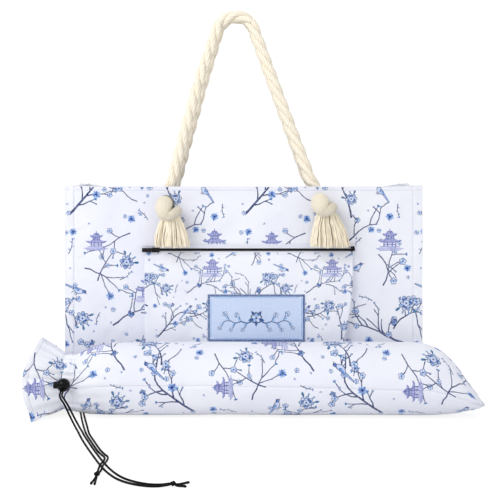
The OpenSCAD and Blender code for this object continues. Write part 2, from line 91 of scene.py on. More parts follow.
def smoothPath(points, step):
    # a curve through the points, with stations a step apart
    p = np.array(points, float)
    ends = np.vstack([2 * p[0] - p[1], p, 2 * p[-1] - p[-2]])
    t = np.linspace(0, 1, 12, endpoint=False)[:, None]
    dense = []
    for i in range(len(p) - 1):
        a, b, c, d = ends[i:i + 4]
        dense.append(0.5 * (2 * b + (c - a) * t + (2 * a - 5 * b + 4 * c - d) * t ** 2
                            + (3 * b - a - 3 * c + d) * t ** 3))
    dense = np.vstack(dense + [p[-1:]])
    far = lengths(dense)
    count = max(2, int(round(far[-1] / step)) + 1)
    at = np.linspace(0, far[-1], count)
    return np.stack([np.interp(at, far, dense[:, k]) for k in range(3)], axis=1)


def framesAlong(path, closed=False):
    # directions along, sideways and up at every station, without needless turning
    if closed:
        along = np.roll(path, -1, axis=0) - np.roll(path, 1, axis=0)
    else:
        along = np.gradient(path, axis=0)
    along /= np.linalg.norm(along, axis=1)[:, None]
    side = np.cross(along[0], (0.31, 0.9, 0.3))
    sides = []
    for d in along:
        side = side - d * side.dot(d)
        side = side / np.linalg.norm(side)
        sides.append(side)
    sides = np.array(sides)
    ups = np.cross(along, sides)
    if closed:
        # share out the turn that is left where the path meets itself
        last = math.atan2(sides[0].dot(ups[-1]), sides[0].dot(sides[-1]))
        turn = np.linspace(0, last, len(path), endpoint=False)[:, None]
        sides, ups = sides * np.cos(turn) + ups * np.sin(turn), ups * np.cos(turn) - sides * np.sin(turn)
    return along, sides, ups


def easeIn(x, low, high):
    t = np.clip((x - low) / (high - low), 0, 1)
    return t * t * (3 - 2 * t)


def curveThrough(x, xs, ys):
    # a smooth curve through a few points that never overshoots them
    xs, ys = np.array(xs, float), np.array(ys, float)
    step = np.diff(xs)
    rise = np.diff(ys) / step
    slope = np.zeros(len(xs))
    both = rise[:-1] * rise[1:] > 0
    slope[1:-1][both] = 2 * rise[:-1][both] * rise[1:][both] / (rise[:-1] + rise[1:])[both]
    slope[0], slope[-1] = rise[0], rise[-1]
    i = np.clip(np.searchsorted(xs, x) - 1, 0, len(step) - 1)
    t = np.clip((x - xs[i]) / step[i], 0, 1)
    return (ys[i] * (1 + 2 * t) * (1 - t) ** 2 + slope[i] * step[i] * t * (1 - t) ** 2
            + ys[i + 1] * t * t * (3 - 2 * t) + slope[i + 1] * step[i] * t * t * (t - 1))


def grid(rows, columns, closedRows=False, closedColumns=False, flip=False):
    # faces of a sheet of rows x columns points, and the place of each corner on it
    r = np.arange(rows if closedRows else rows - 1)
    c = np.arange(columns if closedColumns else columns - 1)
    i, j = [a.ravel() for a in np.meshgrid(r, c, indexing="ij")]
    corners = [(i, j), (i, j + 1), (i + 1, j + 1), (i + 1, j)]
    if flip:
        corners = corners[::-1]
    faces = np.stack([(a % rows) * columns + b % columns for a, b in corners], axis=1)
    places = np.stack([np.stack([b, a], axis=1) for a, b in corners], axis=1).astype(float)
    return faces, places


def spread(low, high, nu, nv):
    # an even net of points over a rectangle
    gu, gv = np.meshgrid(np.linspace(low[0], high[0], nu), np.linspace(low[1], high[1], nv))
    return asRows(gu.ravel(), gv.ravel())


# meshes
def meshOf(name, parts, materials):
    # parts are dictionaries: verts in mm, faces, and what the faces carry
    mesh = bpy.data.meshes.new(name)
    verts, loops, starts, slots, uvs, bakes, inks, normals = [], [], [], [], [], [], [], []
    base = corner = 0
    for part in parts:
        v, f = np.asarray(part["verts"], float), np.asarray(part["faces"], int)
        count, sides = f.shape
        verts.append(v)
        loops.append((f + base).ravel())
        starts.append(corner + sides * np.arange(count))
        slots.append(np.full(count, part.get("slot", 0)))
        uvs.append(np.reshape(part.get("uv", np.zeros((count, sides, 2))), (-1, 2)))
        bakes.append(np.reshape(part.get("bake", np.zeros((count, sides, 2))), (-1, 2)))
        ink = part.get("ink")
        ink = np.repeat(ink, sides, axis=0) if ink is not None else np.ones((count * sides, 3))
        inks.append(np.hstack([ink, np.ones((count * sides, 1))]))
        n = part.get("normals")
        normals.append(n[f.ravel()] if n is not None else np.zeros((count * sides, 3)))
        base += len(v)
        corner += count * sides
    verts, loops = np.vstack(verts) * mm, np.concatenate(loops)
    starts, slots = np.concatenate(starts), np.concatenate(slots)
    mesh.vertices.add(len(verts))
    mesh.vertices.foreach_set("co", verts.ravel())
    mesh.loops.add(len(loops))
    mesh.loops.foreach_set("vertex_index", loops.astype(np.int32))
    mesh.polygons.add(len(starts))
    mesh.polygons.foreach_set("loop_start", starts.astype(np.int32))
    mesh.update(calc_edges=True)
    mesh.polygons.foreach_set("material_index", slots.astype(np.int32))
    mesh.polygons.foreach_set("use_smooth", np.ones(len(starts), bool))
    if any("uv" in part for part in parts):
        mesh.uv_layers.new(name="clothUv").data.foreach_set("uv", np.vstack(uvs).ravel())
    if all("bake" in part for part in parts):
        mesh.uv_layers.new(name="OFBake").data.foreach_set("uv", np.vstack(bakes).ravel())
    if any("ink" in part for part in parts):
        layer = mesh.color_attributes.new(name="ink", type="FLOAT_COLOR", domain="CORNER")
        layer.data.foreach_set("color", np.vstack(inks).ravel())
    if any("normals" in part for part in parts):
        mesh.normals_split_custom_set(np.vstack(normals))
    for material in materials:
        mesh.materials.append(material)
    return mesh


def turnedRight(part):
    # faces turned over where they disagree with the normals that the part carries
    v, f, n = part["verts"], part["faces"], part["normals"]
    way = np.cross(v[f[:, 2]] - v[f[:, 0]], v[f[:, -1]] - v[f[:, 1]])
    if np.sum(way * n[f].mean(axis=1)) < 0:
        for key in ("faces", "uv", "bake"):
            part[key] = np.asarray(part[key])[:, ::-1]
    return part


def settled(piece, body, replaced=(), slot=None, sharp=None):
    if sharp:
        piece.data.set_sharp_from_angle(angle=math.radians(sharp))
    if body:
        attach(piece, body)
    if replaced:
        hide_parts(*replaced)
    return piece


def addPiece(name, body, parts, materials, *rest, **more):
    return settled(linked(name, meshOf(name, parts, materials)), body, *rest, **more)


def tubePart(path, radius, sides, closed=False):
    # a round tube with rounded ends, and its length and girth as its uv
    path = np.array(path, float)
    radii = np.full(len(path), float(radius)) if np.isscalar(radius) else np.array(radius, float)
    along, side, up = framesAlong(path, closed)
    if not closed:
        r0, r1 = radii[0], radii[-1]
        caps = [(0.8, 0.6), (0.45, 0.89), (0.02, 1.0)]
        front = [(path[0] - along[0] * r0 * push, r0 * wide) for wide, push in reversed(caps)]
        back = [(path[-1] + along[-1] * r1 * push, r1 * wide) for wide, push in caps]
        path = np.vstack([[p for p, _ in front], path, [p for p, _ in back]])
        radii = np.concatenate([[r for _, r in front], radii, [r for _, r in back]])
        side = np.vstack([np.repeat(side[:1], 3, 0), side, np.repeat(side[-1:], 3, 0)])
        up = np.vstack([np.repeat(up[:1], 3, 0), up, np.repeat(up[-1:], 3, 0)])
    turn = roundTurn(sides)
    ring = side[:, None] * np.cos(turn)[None, :, None] + up[:, None] * np.sin(turn)[None, :, None]
    verts = (path[:, None] + ring * radii[:, None, None]).reshape(-1, 3)
    faces, places = grid(len(path), sides, closedRows=closed, closedColumns=True)
    far = np.append(lengths(path), lengths(np.vstack([path, path[:1]]))[-1])
    uv = np.stack([places[..., 0] / sides, far[places[..., 1].astype(int)] * mm], axis=-1)
    return {"verts": verts, "faces": faces, "uv": uv}


# materials
def rgb(r, g, b):
    # a colour as it looks on screen, made linear
    return tuple(c / 12.92 if c <= 0.04045 else ((c + 0.055) / 1.055) ** 2.4
                 for c in (r / 255, g / 255, b / 255))


def shaded(colour, share):
    return tuple(c * share for c in colour)


class Nodes:
    # a short way to lay out one material's nodes
    def __init__(self, name, **settings):
        self.material = bpy.data.materials.new(name)
        self.material.use_nodes = True
        self.tree = self.material.node_tree
        self.shader = self.tree.nodes["Principled BSDF"]
        for key, value in settings.items():
            self.set(self.shader, key.replace("_", " "), value)

    def set(self, node, key, value):
        if isinstance(value, bpy.types.NodeSocket):
            self.tree.links.new(value, node.inputs[key])
        else:
            if isinstance(value, tuple) and len(value) == 3 and node.inputs[key].type == "RGBA":
                value = value + (1,)
            node.inputs[key].default_value = value

    def add(self, kind, output=0, **inputs):
        node = self.tree.nodes.new("ShaderNode" + kind)
        for key, value in inputs.items():
            if key.startswith("_"):
                setattr(node, key[1:], value)
        for key, value in inputs.items():
            if not key.startswith("_"):
                self.set(node, int(key[1:]) if key[0] == "i" and key[1:].isdigit() else key, value)
        return node.outputs[output]

    def math(self, operation, a, b=0.0):
        return self.add("Math", _operation=operation, i0=a, i1=b)

    def wave(self, value, period=1.0):
        return self.math("SINE", self.math("MULTIPLY", value, 2 * pi / period))

    def mix(self, factor, a, b, blend="MIX"):
        node = self.tree.nodes.new("ShaderNodeMix")
        node.data_type, node.blend_type = "RGBA", blend
        for index, value in ((0, factor), (6, a), (7, b)):
            self.set(node, index, value)
        return node.outputs[2]

    def noise(self, where, scale, detail=2.0):
        return self.add("TexNoise", Vector=where, Scale=scale, Detail=detail)

    def ramp(self, value, low, high, first=0.0, last=1.0):
        return self.add("MapRange", Value=value, **{"From Min": low, "From Max": high,
                                                    "To Min": first, "To Max": last})

    def place(self):
        return self.add("TexCoord", output=3)

    def cloth(self):
        # the place on the cloth, whole and as its two numbers
        flat = self.add("UVMap", _uv_map="clothUv")
        split = self.tree.nodes.new("ShaderNodeSeparateXYZ")
        self.tree.links.new(flat, split.inputs[0])
        return flat, split.outputs[0], split.outputs[1]

    def bump(self, height, distance, **below):
        return self.add("Bump", Height=height, Distance=distance, Strength=1.0, **below)

    def finish(self, colour=None, normal=None, roughness=None):
        for key, value in (("Base Color", colour), ("Normal", normal), ("Roughness", roughness)):
            if value is not None:
                self.set(self.shader, key, value)
        return self.material


clothWhite = (244, 245, 250)
plainWhite = rgb(255, 255, 255)


def clothMaterial(name, colour, thread=0.0009, wrinkle=0.0016, sheen=0.12):
    # plain weave with soft wrinkles and painted shade; printed cloth takes its colour from the ink
    # attribute
    n = Nodes(name, Roughness=0.82, Sheen_Weight=sheen, Specular_IOR_Level=0.28)
    flat, across, along = n.cloth()
    place = n.place()
    weave = n.math("MULTIPLY", n.wave(across, thread), n.wave(along, thread))
    soft, fine, shadePatchNoise = n.noise(place, 17.0, 3.0), n.noise(place, 62.0), n.noise(place, 9.0)
    paint = colour
    if colour is None:
        ink, bleed = n.add("Attribute", _attribute_name="ink"), n.noise(flat, 260.0, 3.0)
        paint = n.mix(n.ramp(bleed, 0.42, 1.5), ink, rgb(*clothWhite))
    # painted shade: the colour is multiplied by a pale lavender in soft random patches, and by a greyer
    # tint in the low places of the weave between the threads
    for factor, tint in ((n.ramp(shadePatchNoise, 0.35, 0.8), (246, 246, 252)),
                         (n.ramp(weave, 2.2, -3.0), (238, 240, 246))):
        paint = n.mix(1.0, paint, n.mix(factor, plainWhite, rgb(*tint)), "MULTIPLY")
    normal = n.bump(soft, wrinkle * 4)
    normal = n.bump(fine, wrinkle * 0.6, Normal=normal)
    normal = n.bump(weave, 0.00008, Normal=normal)
    return n.finish(paint, normal, n.ramp(fine, 0.2, 0.8, 0.74, 0.9))


def ropeMaterial(name, pale, deep, yarns, lay, depth=0.0005):
    # spun yarns run slanting round each strand; the grooves between them are painted darker, as painted
    # shade
    n = Nodes(name, Roughness=0.88, Sheen_Weight=0.25, Specular_IOR_Level=0.2)
    _, turn, far = n.cloth()
    place = n.place()
    yarn = n.wave(n.math("SUBTRACT", n.math("MULTIPLY", turn, yarns), n.math("DIVIDE", far, lay)))
    fluff, cloud = n.noise(place, 900.0, 3.0), n.noise(place, 45.0, 3.0)
    height = n.math("ADD", yarn, n.math("MULTIPLY", fluff, 1.6))
    # painted shade: the deep colour fills the grooves between the yarns, the pale one their crests
    paint = n.mix(n.ramp(yarn, -1.0, 0.2), deep, pale)
    paint = n.mix(n.ramp(cloud, 0.3, 0.75), paint, shaded(pale, 0.93))
    return n.finish(paint, n.bump(height, depth))


def plainMaterial(name, colour, rough, metal=0.0, grain=300.0, depth=0.00005, **more):
    # moulded, painted or plated surfaces with a fine grain and a little unevenness
    n = Nodes(name, Metallic=metal, **more)
    place = n.place()
    fine, broad = n.noise(place, grain, 3.0), n.noise(place, grain / 14)
    paint = n.mix(n.ramp(broad, 0.3, 0.8), colour, shaded(colour, 0.88))
    roughness = n.ramp(fine, 0.25, 0.75, rough * 0.85, min(1.0, rough * 1.2))
    return n.finish(paint, n.bump(fine, depth), roughness)


def braidMaterial(name, colour, strands, lay):
    # two sets of strands crossing over each other round a cord, with painted shade in the gaps and painted
    # light on the crests
    n = Nodes(name, Roughness=0.55, Specular_IOR_Level=0.12)
    _, turn, far = n.cloth()
    turn, far = n.math("MULTIPLY", turn, strands), n.math("DIVIDE", far, lay)
    over, under = n.wave(n.math("ADD", turn, far)), n.wave(n.math("SUBTRACT", turn, far))
    braid = n.math("MAXIMUM", over, under)
    # painted shade in the gaps between strands and painted light on their raised crests
    paint = n.mix(n.ramp(braid, -0.4, 1.0), shaded(colour, 0.6), shaded(colour, 1.5))
    return n.finish(paint, n.bump(braid, 0.0003))


printedCloth = clothMaterial("printed_cloth", None)
plainCloth = clothMaterial("plain_cloth", rgb(240, 241, 247))
labelCloth = clothMaterial("label_cloth", None, thread=0.0007, wrinkle=0.0005)
zipCloth = clothMaterial("zip_cloth", rgb(9, 9, 11), thread=0.0008, wrinkle=0.0003, sheen=0.05)
threadYarn = plainMaterial("stitch_thread", rgb(204, 209, 228), 0.8, grain=2500.0)
# the second colour of each rope is painted shade for the grooves between its yarns
cottonRope = ropeMaterial("cotton_rope", rgb(249, 241, 224), rgb(228, 214, 186), 7.0, 0.0065, 0.00028)
cottonBundle = ropeMaterial("cotton_bundle", rgb(249, 240, 220), rgb(236, 223, 196), 34.0, 0.02, 0.0004)
cottonYarn = plainMaterial("cotton_yarn", rgb(249, 239, 217), 0.9, grain=1400.0, depth=0.0002)
blackCord = braidMaterial("drawcord", rgb(7, 7, 8), 4.0, 0.0042)
blackPlastic = plainMaterial("lock_plastic", rgb(5, 5, 6), 0.12, grain=900.0, depth=0.00002,
                             Specular_IOR_Level=0.16)
nylon = plainMaterial("zip_nylon", rgb(8, 8, 9), 0.45, grain=1500.0)
blackMetal = plainMaterial("zip_metal", rgb(18, 18, 20), 0.3, metal=0.5, grain=1200.0)
eyeletMetal = plainMaterial("eyelet_metal", rgb(138, 138, 136), 0.42, metal=0.7, grain=1600.0)
springWire = plainMaterial("spring_wire", rgb(190, 192, 196), 0.28, metal=1.0, grain=3000.0)
boardStock = plainMaterial("base_stiffener", rgb(176, 170, 160), 0.75, grain=420.0, depth=0.0002)
printed = [printedCloth, plainCloth]
say("materials are ready")


# drawcords
# the four routes, from where each strand leaves the neck's channel to its knot
cords = {"width": 3.0, "sides": 10, "step": 2.4, "sunk": 4.0}
routes = {
    "drawcord_a_left": [
        (-285.5, -166.2, 64.4), (-285.5, -167.9, 65), (-285.5, -169.3, 65.6),
        (-285.5, -171.2, 65.5), (-285.5, -175.6, 63), (-285.5, -180.8, 60), (-285.5, -189.5, 55),
        (-285.5, -194.6, 52), (-285.5, -199.4, 49.2), (-284.6, -202, 47.5),
        (-282.3, -205.3, 44.5),
        (-277.9, -208, 39.4), (-273.8, -209.5, 32.8), (-268.7, -211, 22.8),
        (-262.8, -214, 12.9), (-255.7, -222, 4.7), (-250.6, -232, 2.3),
        (-244.5, -248.2, 1.5), (-236, -271, 1.5), (-222, -306, 1.5), (-208, -339, 1.5),
        (-195, -369, 1.5), (-180, -399, 1.5), (-163, -424, 1.5), (-144, -440, 1.5),
        (-123, -449, 1.5), (-106, -451, 1.8), (-92, -449.8, 3.4)],
    "drawcord_a_right": [
        (-282.1, -166.2, 64.4), (-282.1, -167.9, 65), (-282.1, -169.3, 65.6),
        (-282.1, -171.2, 65.5), (-282.1, -175.6, 63), (-282.1, -180.8, 60), (-282.1, -189.5, 55),
        (-282.1, -194.6, 52), (-282.1, -199.4, 49.2), (-280.9, -202, 47.6),
        (-277.6, -205, 44.8),
        (-273.2, -207.5, 39.2), (-268.8, -209, 32.7), (-263.2, -210.5, 22.6),
        (-257, -213.5, 12.7), (-249.8, -221.2, 4.8), (-244.4, -231, 2.1),
        (-238.6, -246.5, 1.5), (-230, -268, 1.5), (-216, -303, 1.5), (-202, -336, 1.5),
        (-189, -365, 1.5), (-174, -394, 1.5), (-158, -417.5, 1.5), (-140.5, -433, 1.5),
        (-121.5, -442.5, 1.5), (-105, -445.5, 1.8), (-92, -446.3, 3.4)],
    "drawcord_b_left": [
        (-286.7, -104, 18.7), (-286.7, -104, 12), (-285.2, -105.6, 5), (-280, -109.8, 1.8),
        (-273.5, -115.5, 1.5), (-268, -125, 1.5), (-262.5, -146, 1.5), (-256, -172, 1.5),
        (-246.5, -207, 1.5), (-236.6, -240, 1.5), (-222.6, -276, 1.5), (-212.2, -302, 1.5),
        (-205.5, -318, 1.5), (-198, -333, 1.8), (-192.5, -345, 3.2), (-189.5, -357, 4.8),
        (-189, -367, 5.1), (-190.5, -377, 5.1), (-191.8, -385, 3.8), (-192, -393, 2.2),
        (-191.5, -402, 2.6), (-191.7, -409.6, 3.8)],
    "drawcord_b_right": [
        (-283.3, -104, 18.7), (-283.3, -104, 12), (-281, -104.2, 5), (-275.5, -106.4, 1.8),
        (-269, -112, 1.5), (-263.8, -123, 1.5), (-258.3, -143, 1.5), (-250.5, -172, 1.5),
        (-241, -207, 1.5), (-232.3, -238.5, 1.5), (-218.4, -274.3, 1.5), (-208, -300.3, 1.5),
        (-201.3, -316, 1.5), (-193.8, -331, 1.8), (-188, -343.5, 3.2), (-185.2, -356, 4.8),
        (-184.8, -368, 5.1), (-186.2, -379, 5.1), (-187.2, -388, 5.1), (-187.4, -395, 3.2),
        (-188, -402, 2.8), (-188.5, -409.7, 3.8)]}
cordEnds = {
    "drawcord_a_knot": {"at": (-87.2, -448, 4.2), "tails": [(-68, -437, 1.5), (-71, -451, 1.5)]},
    "drawcord_b_knot": {"at": (-190, -414.6, 4.2), "tails": [(-193, -441, 1.5), (-188, -443, 1.5)]}}


def knotLump(at, turn, reach, width):
    # an overhand knot pulled small: a trefoil of cord squeezed into a ball
    t = np.linspace(0, 2 * pi, 60, endpoint=False)
    flat = asRows(np.sin(t) + 2 * np.sin(2 * t), np.cos(t) - 2 * np.cos(2 * t), -np.sin(3 * t) * 1.5)
    flat *= (reach - width / 2) / 3.0
    c, s = math.cos(turn), math.sin(turn)
    lying = asRows(c * flat[:, 0] - s * flat[:, 1], s * flat[:, 0] + c * flat[:, 1], flat[:, 2])
    return tubePart(lying + np.array(at), width / 2, 8, closed=True)


def makeCords():
    pieces = {}
    for name, data in cordEnds.items():
        at = np.array(data["at"])
        parts = [knotLump(at, 0.4, 4.1, 3.0), tubePart([at - (1.6, 0, 0), at + (1.6, 0, 0)], 2.4, 10)]
        for end in data["tails"]:
            end = np.array(end)
            away = (end - at) / np.linalg.norm(end - at)
            route = smoothPath([at, at + away * 5 + (0, 0, -1.4), (at + end) / 2 * (1, 1, 0) + (0, 0, 1.6),
                                end - away * 2, end], 1.5)
            radii = np.full(len(route), cords["width"] / 2)
            radii[-3:] = (1.6, 1.8, 1.5)          # the cut end is a little frayed and fused
            parts.append(tubePart(route, radii, cords["sides"]))
        pieces[name] = addPiece(name + "_cord", "mat_sack", parts, [blackCord], [name], "drawcord")
    for name, points in routes.items():
        points = [np.array(p, float) for p in points]
        inward = points[0] - points[1]
        inward *= cords["sunk"] / np.linalg.norm(inward)
        knot = "drawcord_a_knot" if "_a_" in name else "drawcord_b_knot"
        into = points[-1] + (np.array(cordEnds[knot]["at"]) - points[-1]) * 0.45
        path = smoothPath([points[0] + inward] + points + [into], cords["step"])
        cord = addPiece(name + "_braid", "mat_sack", [tubePart(path, cords["width"] / 2, cords["sides"])],
                        [blackCord], [name], "drawcord")
        extra = [pieces[knot]] if name.endswith("left") else []
        if name == "drawcord_a_left":
            extra += [bpy.data.objects["cord_lock_" + part] for part in ("body", "button", "spring")]


makeCords()
say("drawcords are laid")


# the cloth's print
# One repeat of a blue-on-white print: twigs, blossoms, peonies, stars, birds, small towers.
# Each shape is a flat polygon in millimetres; a later shape covers an earlier one.
repeat = {"size": 300.0, "tiles": 3, "step": 100 / 14, "seed": 7, "line": 1.1, "edge": 0.22}
inkColours = {
    "cloth": clothWhite, "navy": (18, 46, 104), "slate": (40, 58, 112), "mid": (62, 112, 190),
    "sky": (150, 186, 232), "pale": (206, 220, 246), "lilac": (164, 168, 216),
    "violet": (108, 116, 178), "teal": (52, 124, 168), "mist": (222, 226, 243)}
inkNames = list(inkColours)
inkTable = np.array([rgb(*inkColours[name]) for name in inkNames])
shapes = []


def addShape(points, ink, into=None):
    p = np.array(points, float)
    x, y = p[:, 0], p[:, 1]
    area = np.sum(x * np.roll(y, -1) - y * np.roll(x, -1)) / 2
    if abs(area) > 0.02:
        (shapes if into is None else into).append((p if area > 0 else p[::-1], inkNames.index(ink)))


def stroke(points, startWidth, endWidth, ink, into=None):
    # a tapering line, one quad for each of its steps
    p = np.array(points, float)
    d = np.diff(p, axis=0)
    d /= np.linalg.norm(d, axis=1)[:, None] + 1e-9
    turn = np.vstack([d[:1], d[:-1] + d[1:], d[-1:]])
    turn /= np.linalg.norm(turn, axis=1)[:, None] + 1e-9
    across = np.linspace(startWidth, endWidth, len(p)) * repeat["line"] / 2 + repeat["edge"]
    across = asRows(-turn[:, 1], turn[:, 0]) * across[:, None]
    left, right = p + across, p - across
    for i in range(len(p) - 1):
        addShape([right[i], right[i + 1], left[i + 1], left[i]], ink, into)


def blob(at, wide, high, turn, ink, sides=9, into=None):
    a = roundTurn(sides)
    x, y = wide * np.cos(a), high * np.sin(a)
    addShape(asRows(at[0] + x * math.cos(turn) - y * math.sin(turn),
                    at[1] + x * math.sin(turn) + y * math.cos(turn)), ink, into)


def step(at, heading, far):
    return (at[0] + far * math.cos(heading), at[1] + far * math.sin(heading))


def around(turn, count):
    return [(k, turn + k * 2 * pi / count) for k in range(count)]


def petal(at, heading, far, wide, ink, into=None):
    tip, sides = step(at, heading, far), []
    for share, part in ((0.35, 0.75), (0.72, 1.0)):
        middle = step(at, heading, far * share)
        sides.append([step(middle, heading + way * pi / 2, wide * part / 2) for way in (-1, 1)])
    addShape([at, sides[0][0], sides[1][0], tip, sides[1][1], sides[0][1]], ink, into)


def blossom(at, size, turn, into=None):
    for k, heading in around(turn, 5):
        blob(step(at, heading, size * 0.56), size * 0.52, size * 0.46, heading, "slate", 8, into)
    for k, heading in around(turn, 5):
        fill = "sky" if k % 2 else "pale"
        blob(step(at, heading, size * 0.56), size * 0.38, size * 0.33, heading, fill, 7, into)
    blob(at, size * 0.2, size * 0.2, 0, "navy", 6, into)


def starFlower(at, size, turn):
    for k, heading in around(turn, 9):
        petal(at, heading, size * (0.85 + 0.15 * (k % 2)), size * 0.42, "sky" if k % 3 else "mid")
    for k, heading in around(turn + 0.3, 7):
        petal(at, heading, size * 0.55, size * 0.24, "mid")
    blob(at, size * 0.24, size * 0.24, 0, "navy", 7)


def leaf(at, heading, far, ink="teal"):
    petal(at, heading, far, far * 0.42, ink)
    stroke([at, step(at, heading, far * 0.8)], 0.7, 0.4, "slate")


def peony(at, size, turn):
    for side in (-1, 1):
        leaf(step(at, turn + side * 2.2, size * 0.8), turn + side * 2.3, size * 0.85)
        leaf(step(at, turn + side * 2.8, size * 0.85), turn + side * 2.9, size * 0.6, "sky")
    for share, count, fill in ((0.66, 8, "sky"), (0.42, 6, "mid"), (0.22, 5, "pale")):
        for long, wide, sides in ((0.31, 0.27, 8), (0.24, 0.2, 7)):
            for k, heading in around(turn + share * 9, count):
                ink = "navy" if sides == 8 else fill if k % 2 else "pale"
                blob(step(at, heading, size * share), size * long * (0.6 + share * 0.6), size * wide,
                     heading, ink, sides)
    blob(at, size * 0.13, size * 0.13, 0, "navy", 6)


def sprig(at, heading, far, ink="slate"):
    points = [at]
    for k in range(4):
        heading += 0.16
        points.append(step(points[-1], heading, far / 4))
    stroke(points, 1.0, 0.6, ink)
    for k in range(1, 5):
        side = 1 if k % 2 else -1
        petal(points[k], heading + side * 0.9 - 0.2, far * 0.2, far * 0.075, "teal" if k % 2 else "lilac")
    blob(step(points[-1], heading, 1.2), 1.7, 1.3, heading, "mid", 6)


def twig(at, heading, far, width, level, dice):
    points, sides = [at], []
    count = max(3, int(far / 10))
    bend = dice.uniform(-0.06, 0.06)
    for k in range(count):
        heading += bend + dice.uniform(-0.36, 0.36)
        points.append(step(points[-1], heading, far / count))
        if level and k and dice.random() < 0.62:
            side = dice.choice((-1, 1))
            way = heading + side * dice.uniform(0.55, 1.0)
            sides.append((points[-1], way, far * dice.uniform(0.3, 0.5)))
    stroke(points, width, max(0.85, width * 0.42), "navy" if width > 1.9 else "slate")
    for place, way, length in sides:
        twig(place, way, length, max(1.05, width * 0.6), level - 1, dice)
    pick = dice.random()
    if pick < 0.34:
        blossom(points[-1], dice.uniform(4.6, 6.6), heading)
    elif pick < 0.62:
        for k in (-1, 0, 1):
            petal(points[-1], heading + 0.55 * k, 5.2, 1.9, "teal" if k else "mid")
    elif pick < 0.86:
        blob(points[-1], 2.3, 1.7, heading, "slate", 7)
        blob(points[-1], 1.4, 1.0, heading, "sky", 6)
    for place in points[2:-1:3]:
        blob(place, 1.7, 1.2, heading, "slate", 6)


def spotFor(at, size, heading=0.0, flip=1):
    # finds places on a small drawing from the drawing's own x and y
    c, s = math.cos(heading), math.sin(heading)
    return lambda x, y: (at[0] + size * (x * c - y * flip * s), at[1] + size * (x * s + y * flip * c))


def bird(at, size, heading, flip=1):
    # side view: long tail, wing, round head and short beak, on two thin legs
    spot = spotFor(at, size, heading, flip)

    def figure(points, ink, wide=1, high=1):
        addShape([spot(x * wide, y * high) for x, y in points], ink)
    stroke([spot(-0.28, -0.04), spot(-0.62, -0.16), spot(-1.0, -0.30)], size * 0.15, size * 0.08, "navy")
    stroke([spot(-0.28, -0.04), spot(-0.62, -0.15), spot(-0.96, -0.27)], size * 0.085, size * 0.035, "sky")
    body = [(0.34, 0.2), (0.2, 0.25), (-0.05, 0.17), (-0.36, 0.0),
            (-0.3, -0.12), (-0.05, -0.2), (0.2, -0.14), (0.36, 0.04)]
    figure(body, "navy", 1.06, 1.12)
    figure(body, "pale", 0.93, 0.88)
    figure([(0.12, 0.16), (-0.1, 0.12), (-0.42, -0.03), (-0.18, -0.08), (0.06, -0.03)], "mid")
    figure([(0.06, 0.06), (-0.14, 0.04), (-0.34, -0.04), (-0.1, -0.05)], "sky")
    blob(spot(0.4, 0.24), size * 0.14, size * 0.13, 0, "navy", 9)
    blob(spot(0.39, 0.22), size * 0.095, size * 0.085, 0, "mid", 8)
    figure([(0.5, 0.28), (0.66, 0.22), (0.5, 0.19)], "navy")
    for x in (-0.02, 0.1):
        stroke([spot(x, -0.17), spot(x + 0.05, -0.34)], 0.9, 0.8, "slate")


def tower(at, size, tiers=2):
    # a small garden tower: upturned roofs over posts, on a terrace
    spot = spotFor(at, size)

    def line(points, startWidth, endWidth, ink="violet"):
        stroke([spot(*p) for p in points], startWidth, endWidth, ink)
    addShape([spot(*p) for p in ((-0.62, -0.02), (0.62, -0.02), (0.55, 0.05), (-0.55, 0.05))], "lilac")
    for k in range(3):
        low = -0.06 * k
        line([(-0.8 + 0.1 * k, -0.08 + low), (0.0, -0.06 + low), (0.78 - 0.12 * k, -0.09 + low)],
             0.9, 0.7, "lilac")
    foot, wide = 0.05, 1.0
    for tier in range(tiers):
        high = 0.27 if tier == 0 else 0.17
        eave, side = foot + high, 0.36 * wide
        addShape([spot(-side, foot), spot(side, foot), spot(side, eave), spot(-side, eave)], "mist")
        for x in (-0.34, -0.14, 0.14, 0.34):
            line([(x * wide, foot), (x * wide, eave)], 1.5, 1.5)
        line([(x, foot + high * 0.35) for x in (-side, side)], 0.8, 0.8)
        roof = [(-0.66, 0.08), (-0.52, -0.02), (0, -0.05), (0.52, -0.02), (0.66, 0.08),
                (0.42, 0.09), (0.2, 0.2), (-0.2, 0.2), (-0.42, 0.09)]
        roof = [(x * wide, eave + y) for x, y in roof]
        addShape([spot(*p) for p in roof], "lilac")
        line(roof[:5], 1.3, 1.3)
        line([(x * wide, eave + 0.2) for x in (-0.24, 0.24)], 1.4, 1.4)
        for x in (-0.24, -0.08, 0.08, 0.24):
            line([(x * 0.7 * wide, eave + 0.18), (x * 1.5 * wide, eave + 0.01)], 0.6, 0.6)
        foot, wide = eave + 0.2, wide * 0.62
    line([(0, foot - 0.02), (0, foot + 0.16)], 1.5, 0.5)


def butterfly(at, size, heading):
    for side in (-1, 1):
        for turn, far, wide, ink in ((0.8, 1, 0.75, "navy"), (0.8, 0.8, 0.5, "mid"),
                                     (2.0, 0.7, 0.6, "navy"), (2.0, 0.5, 0.38, "sky")):
            petal(at, heading + side * turn, size * far, size * wide, ink)
    stroke([step(at, heading + pi, size * 0.4), step(at, heading, size * 0.4)], 1.1, 0.8, "navy")


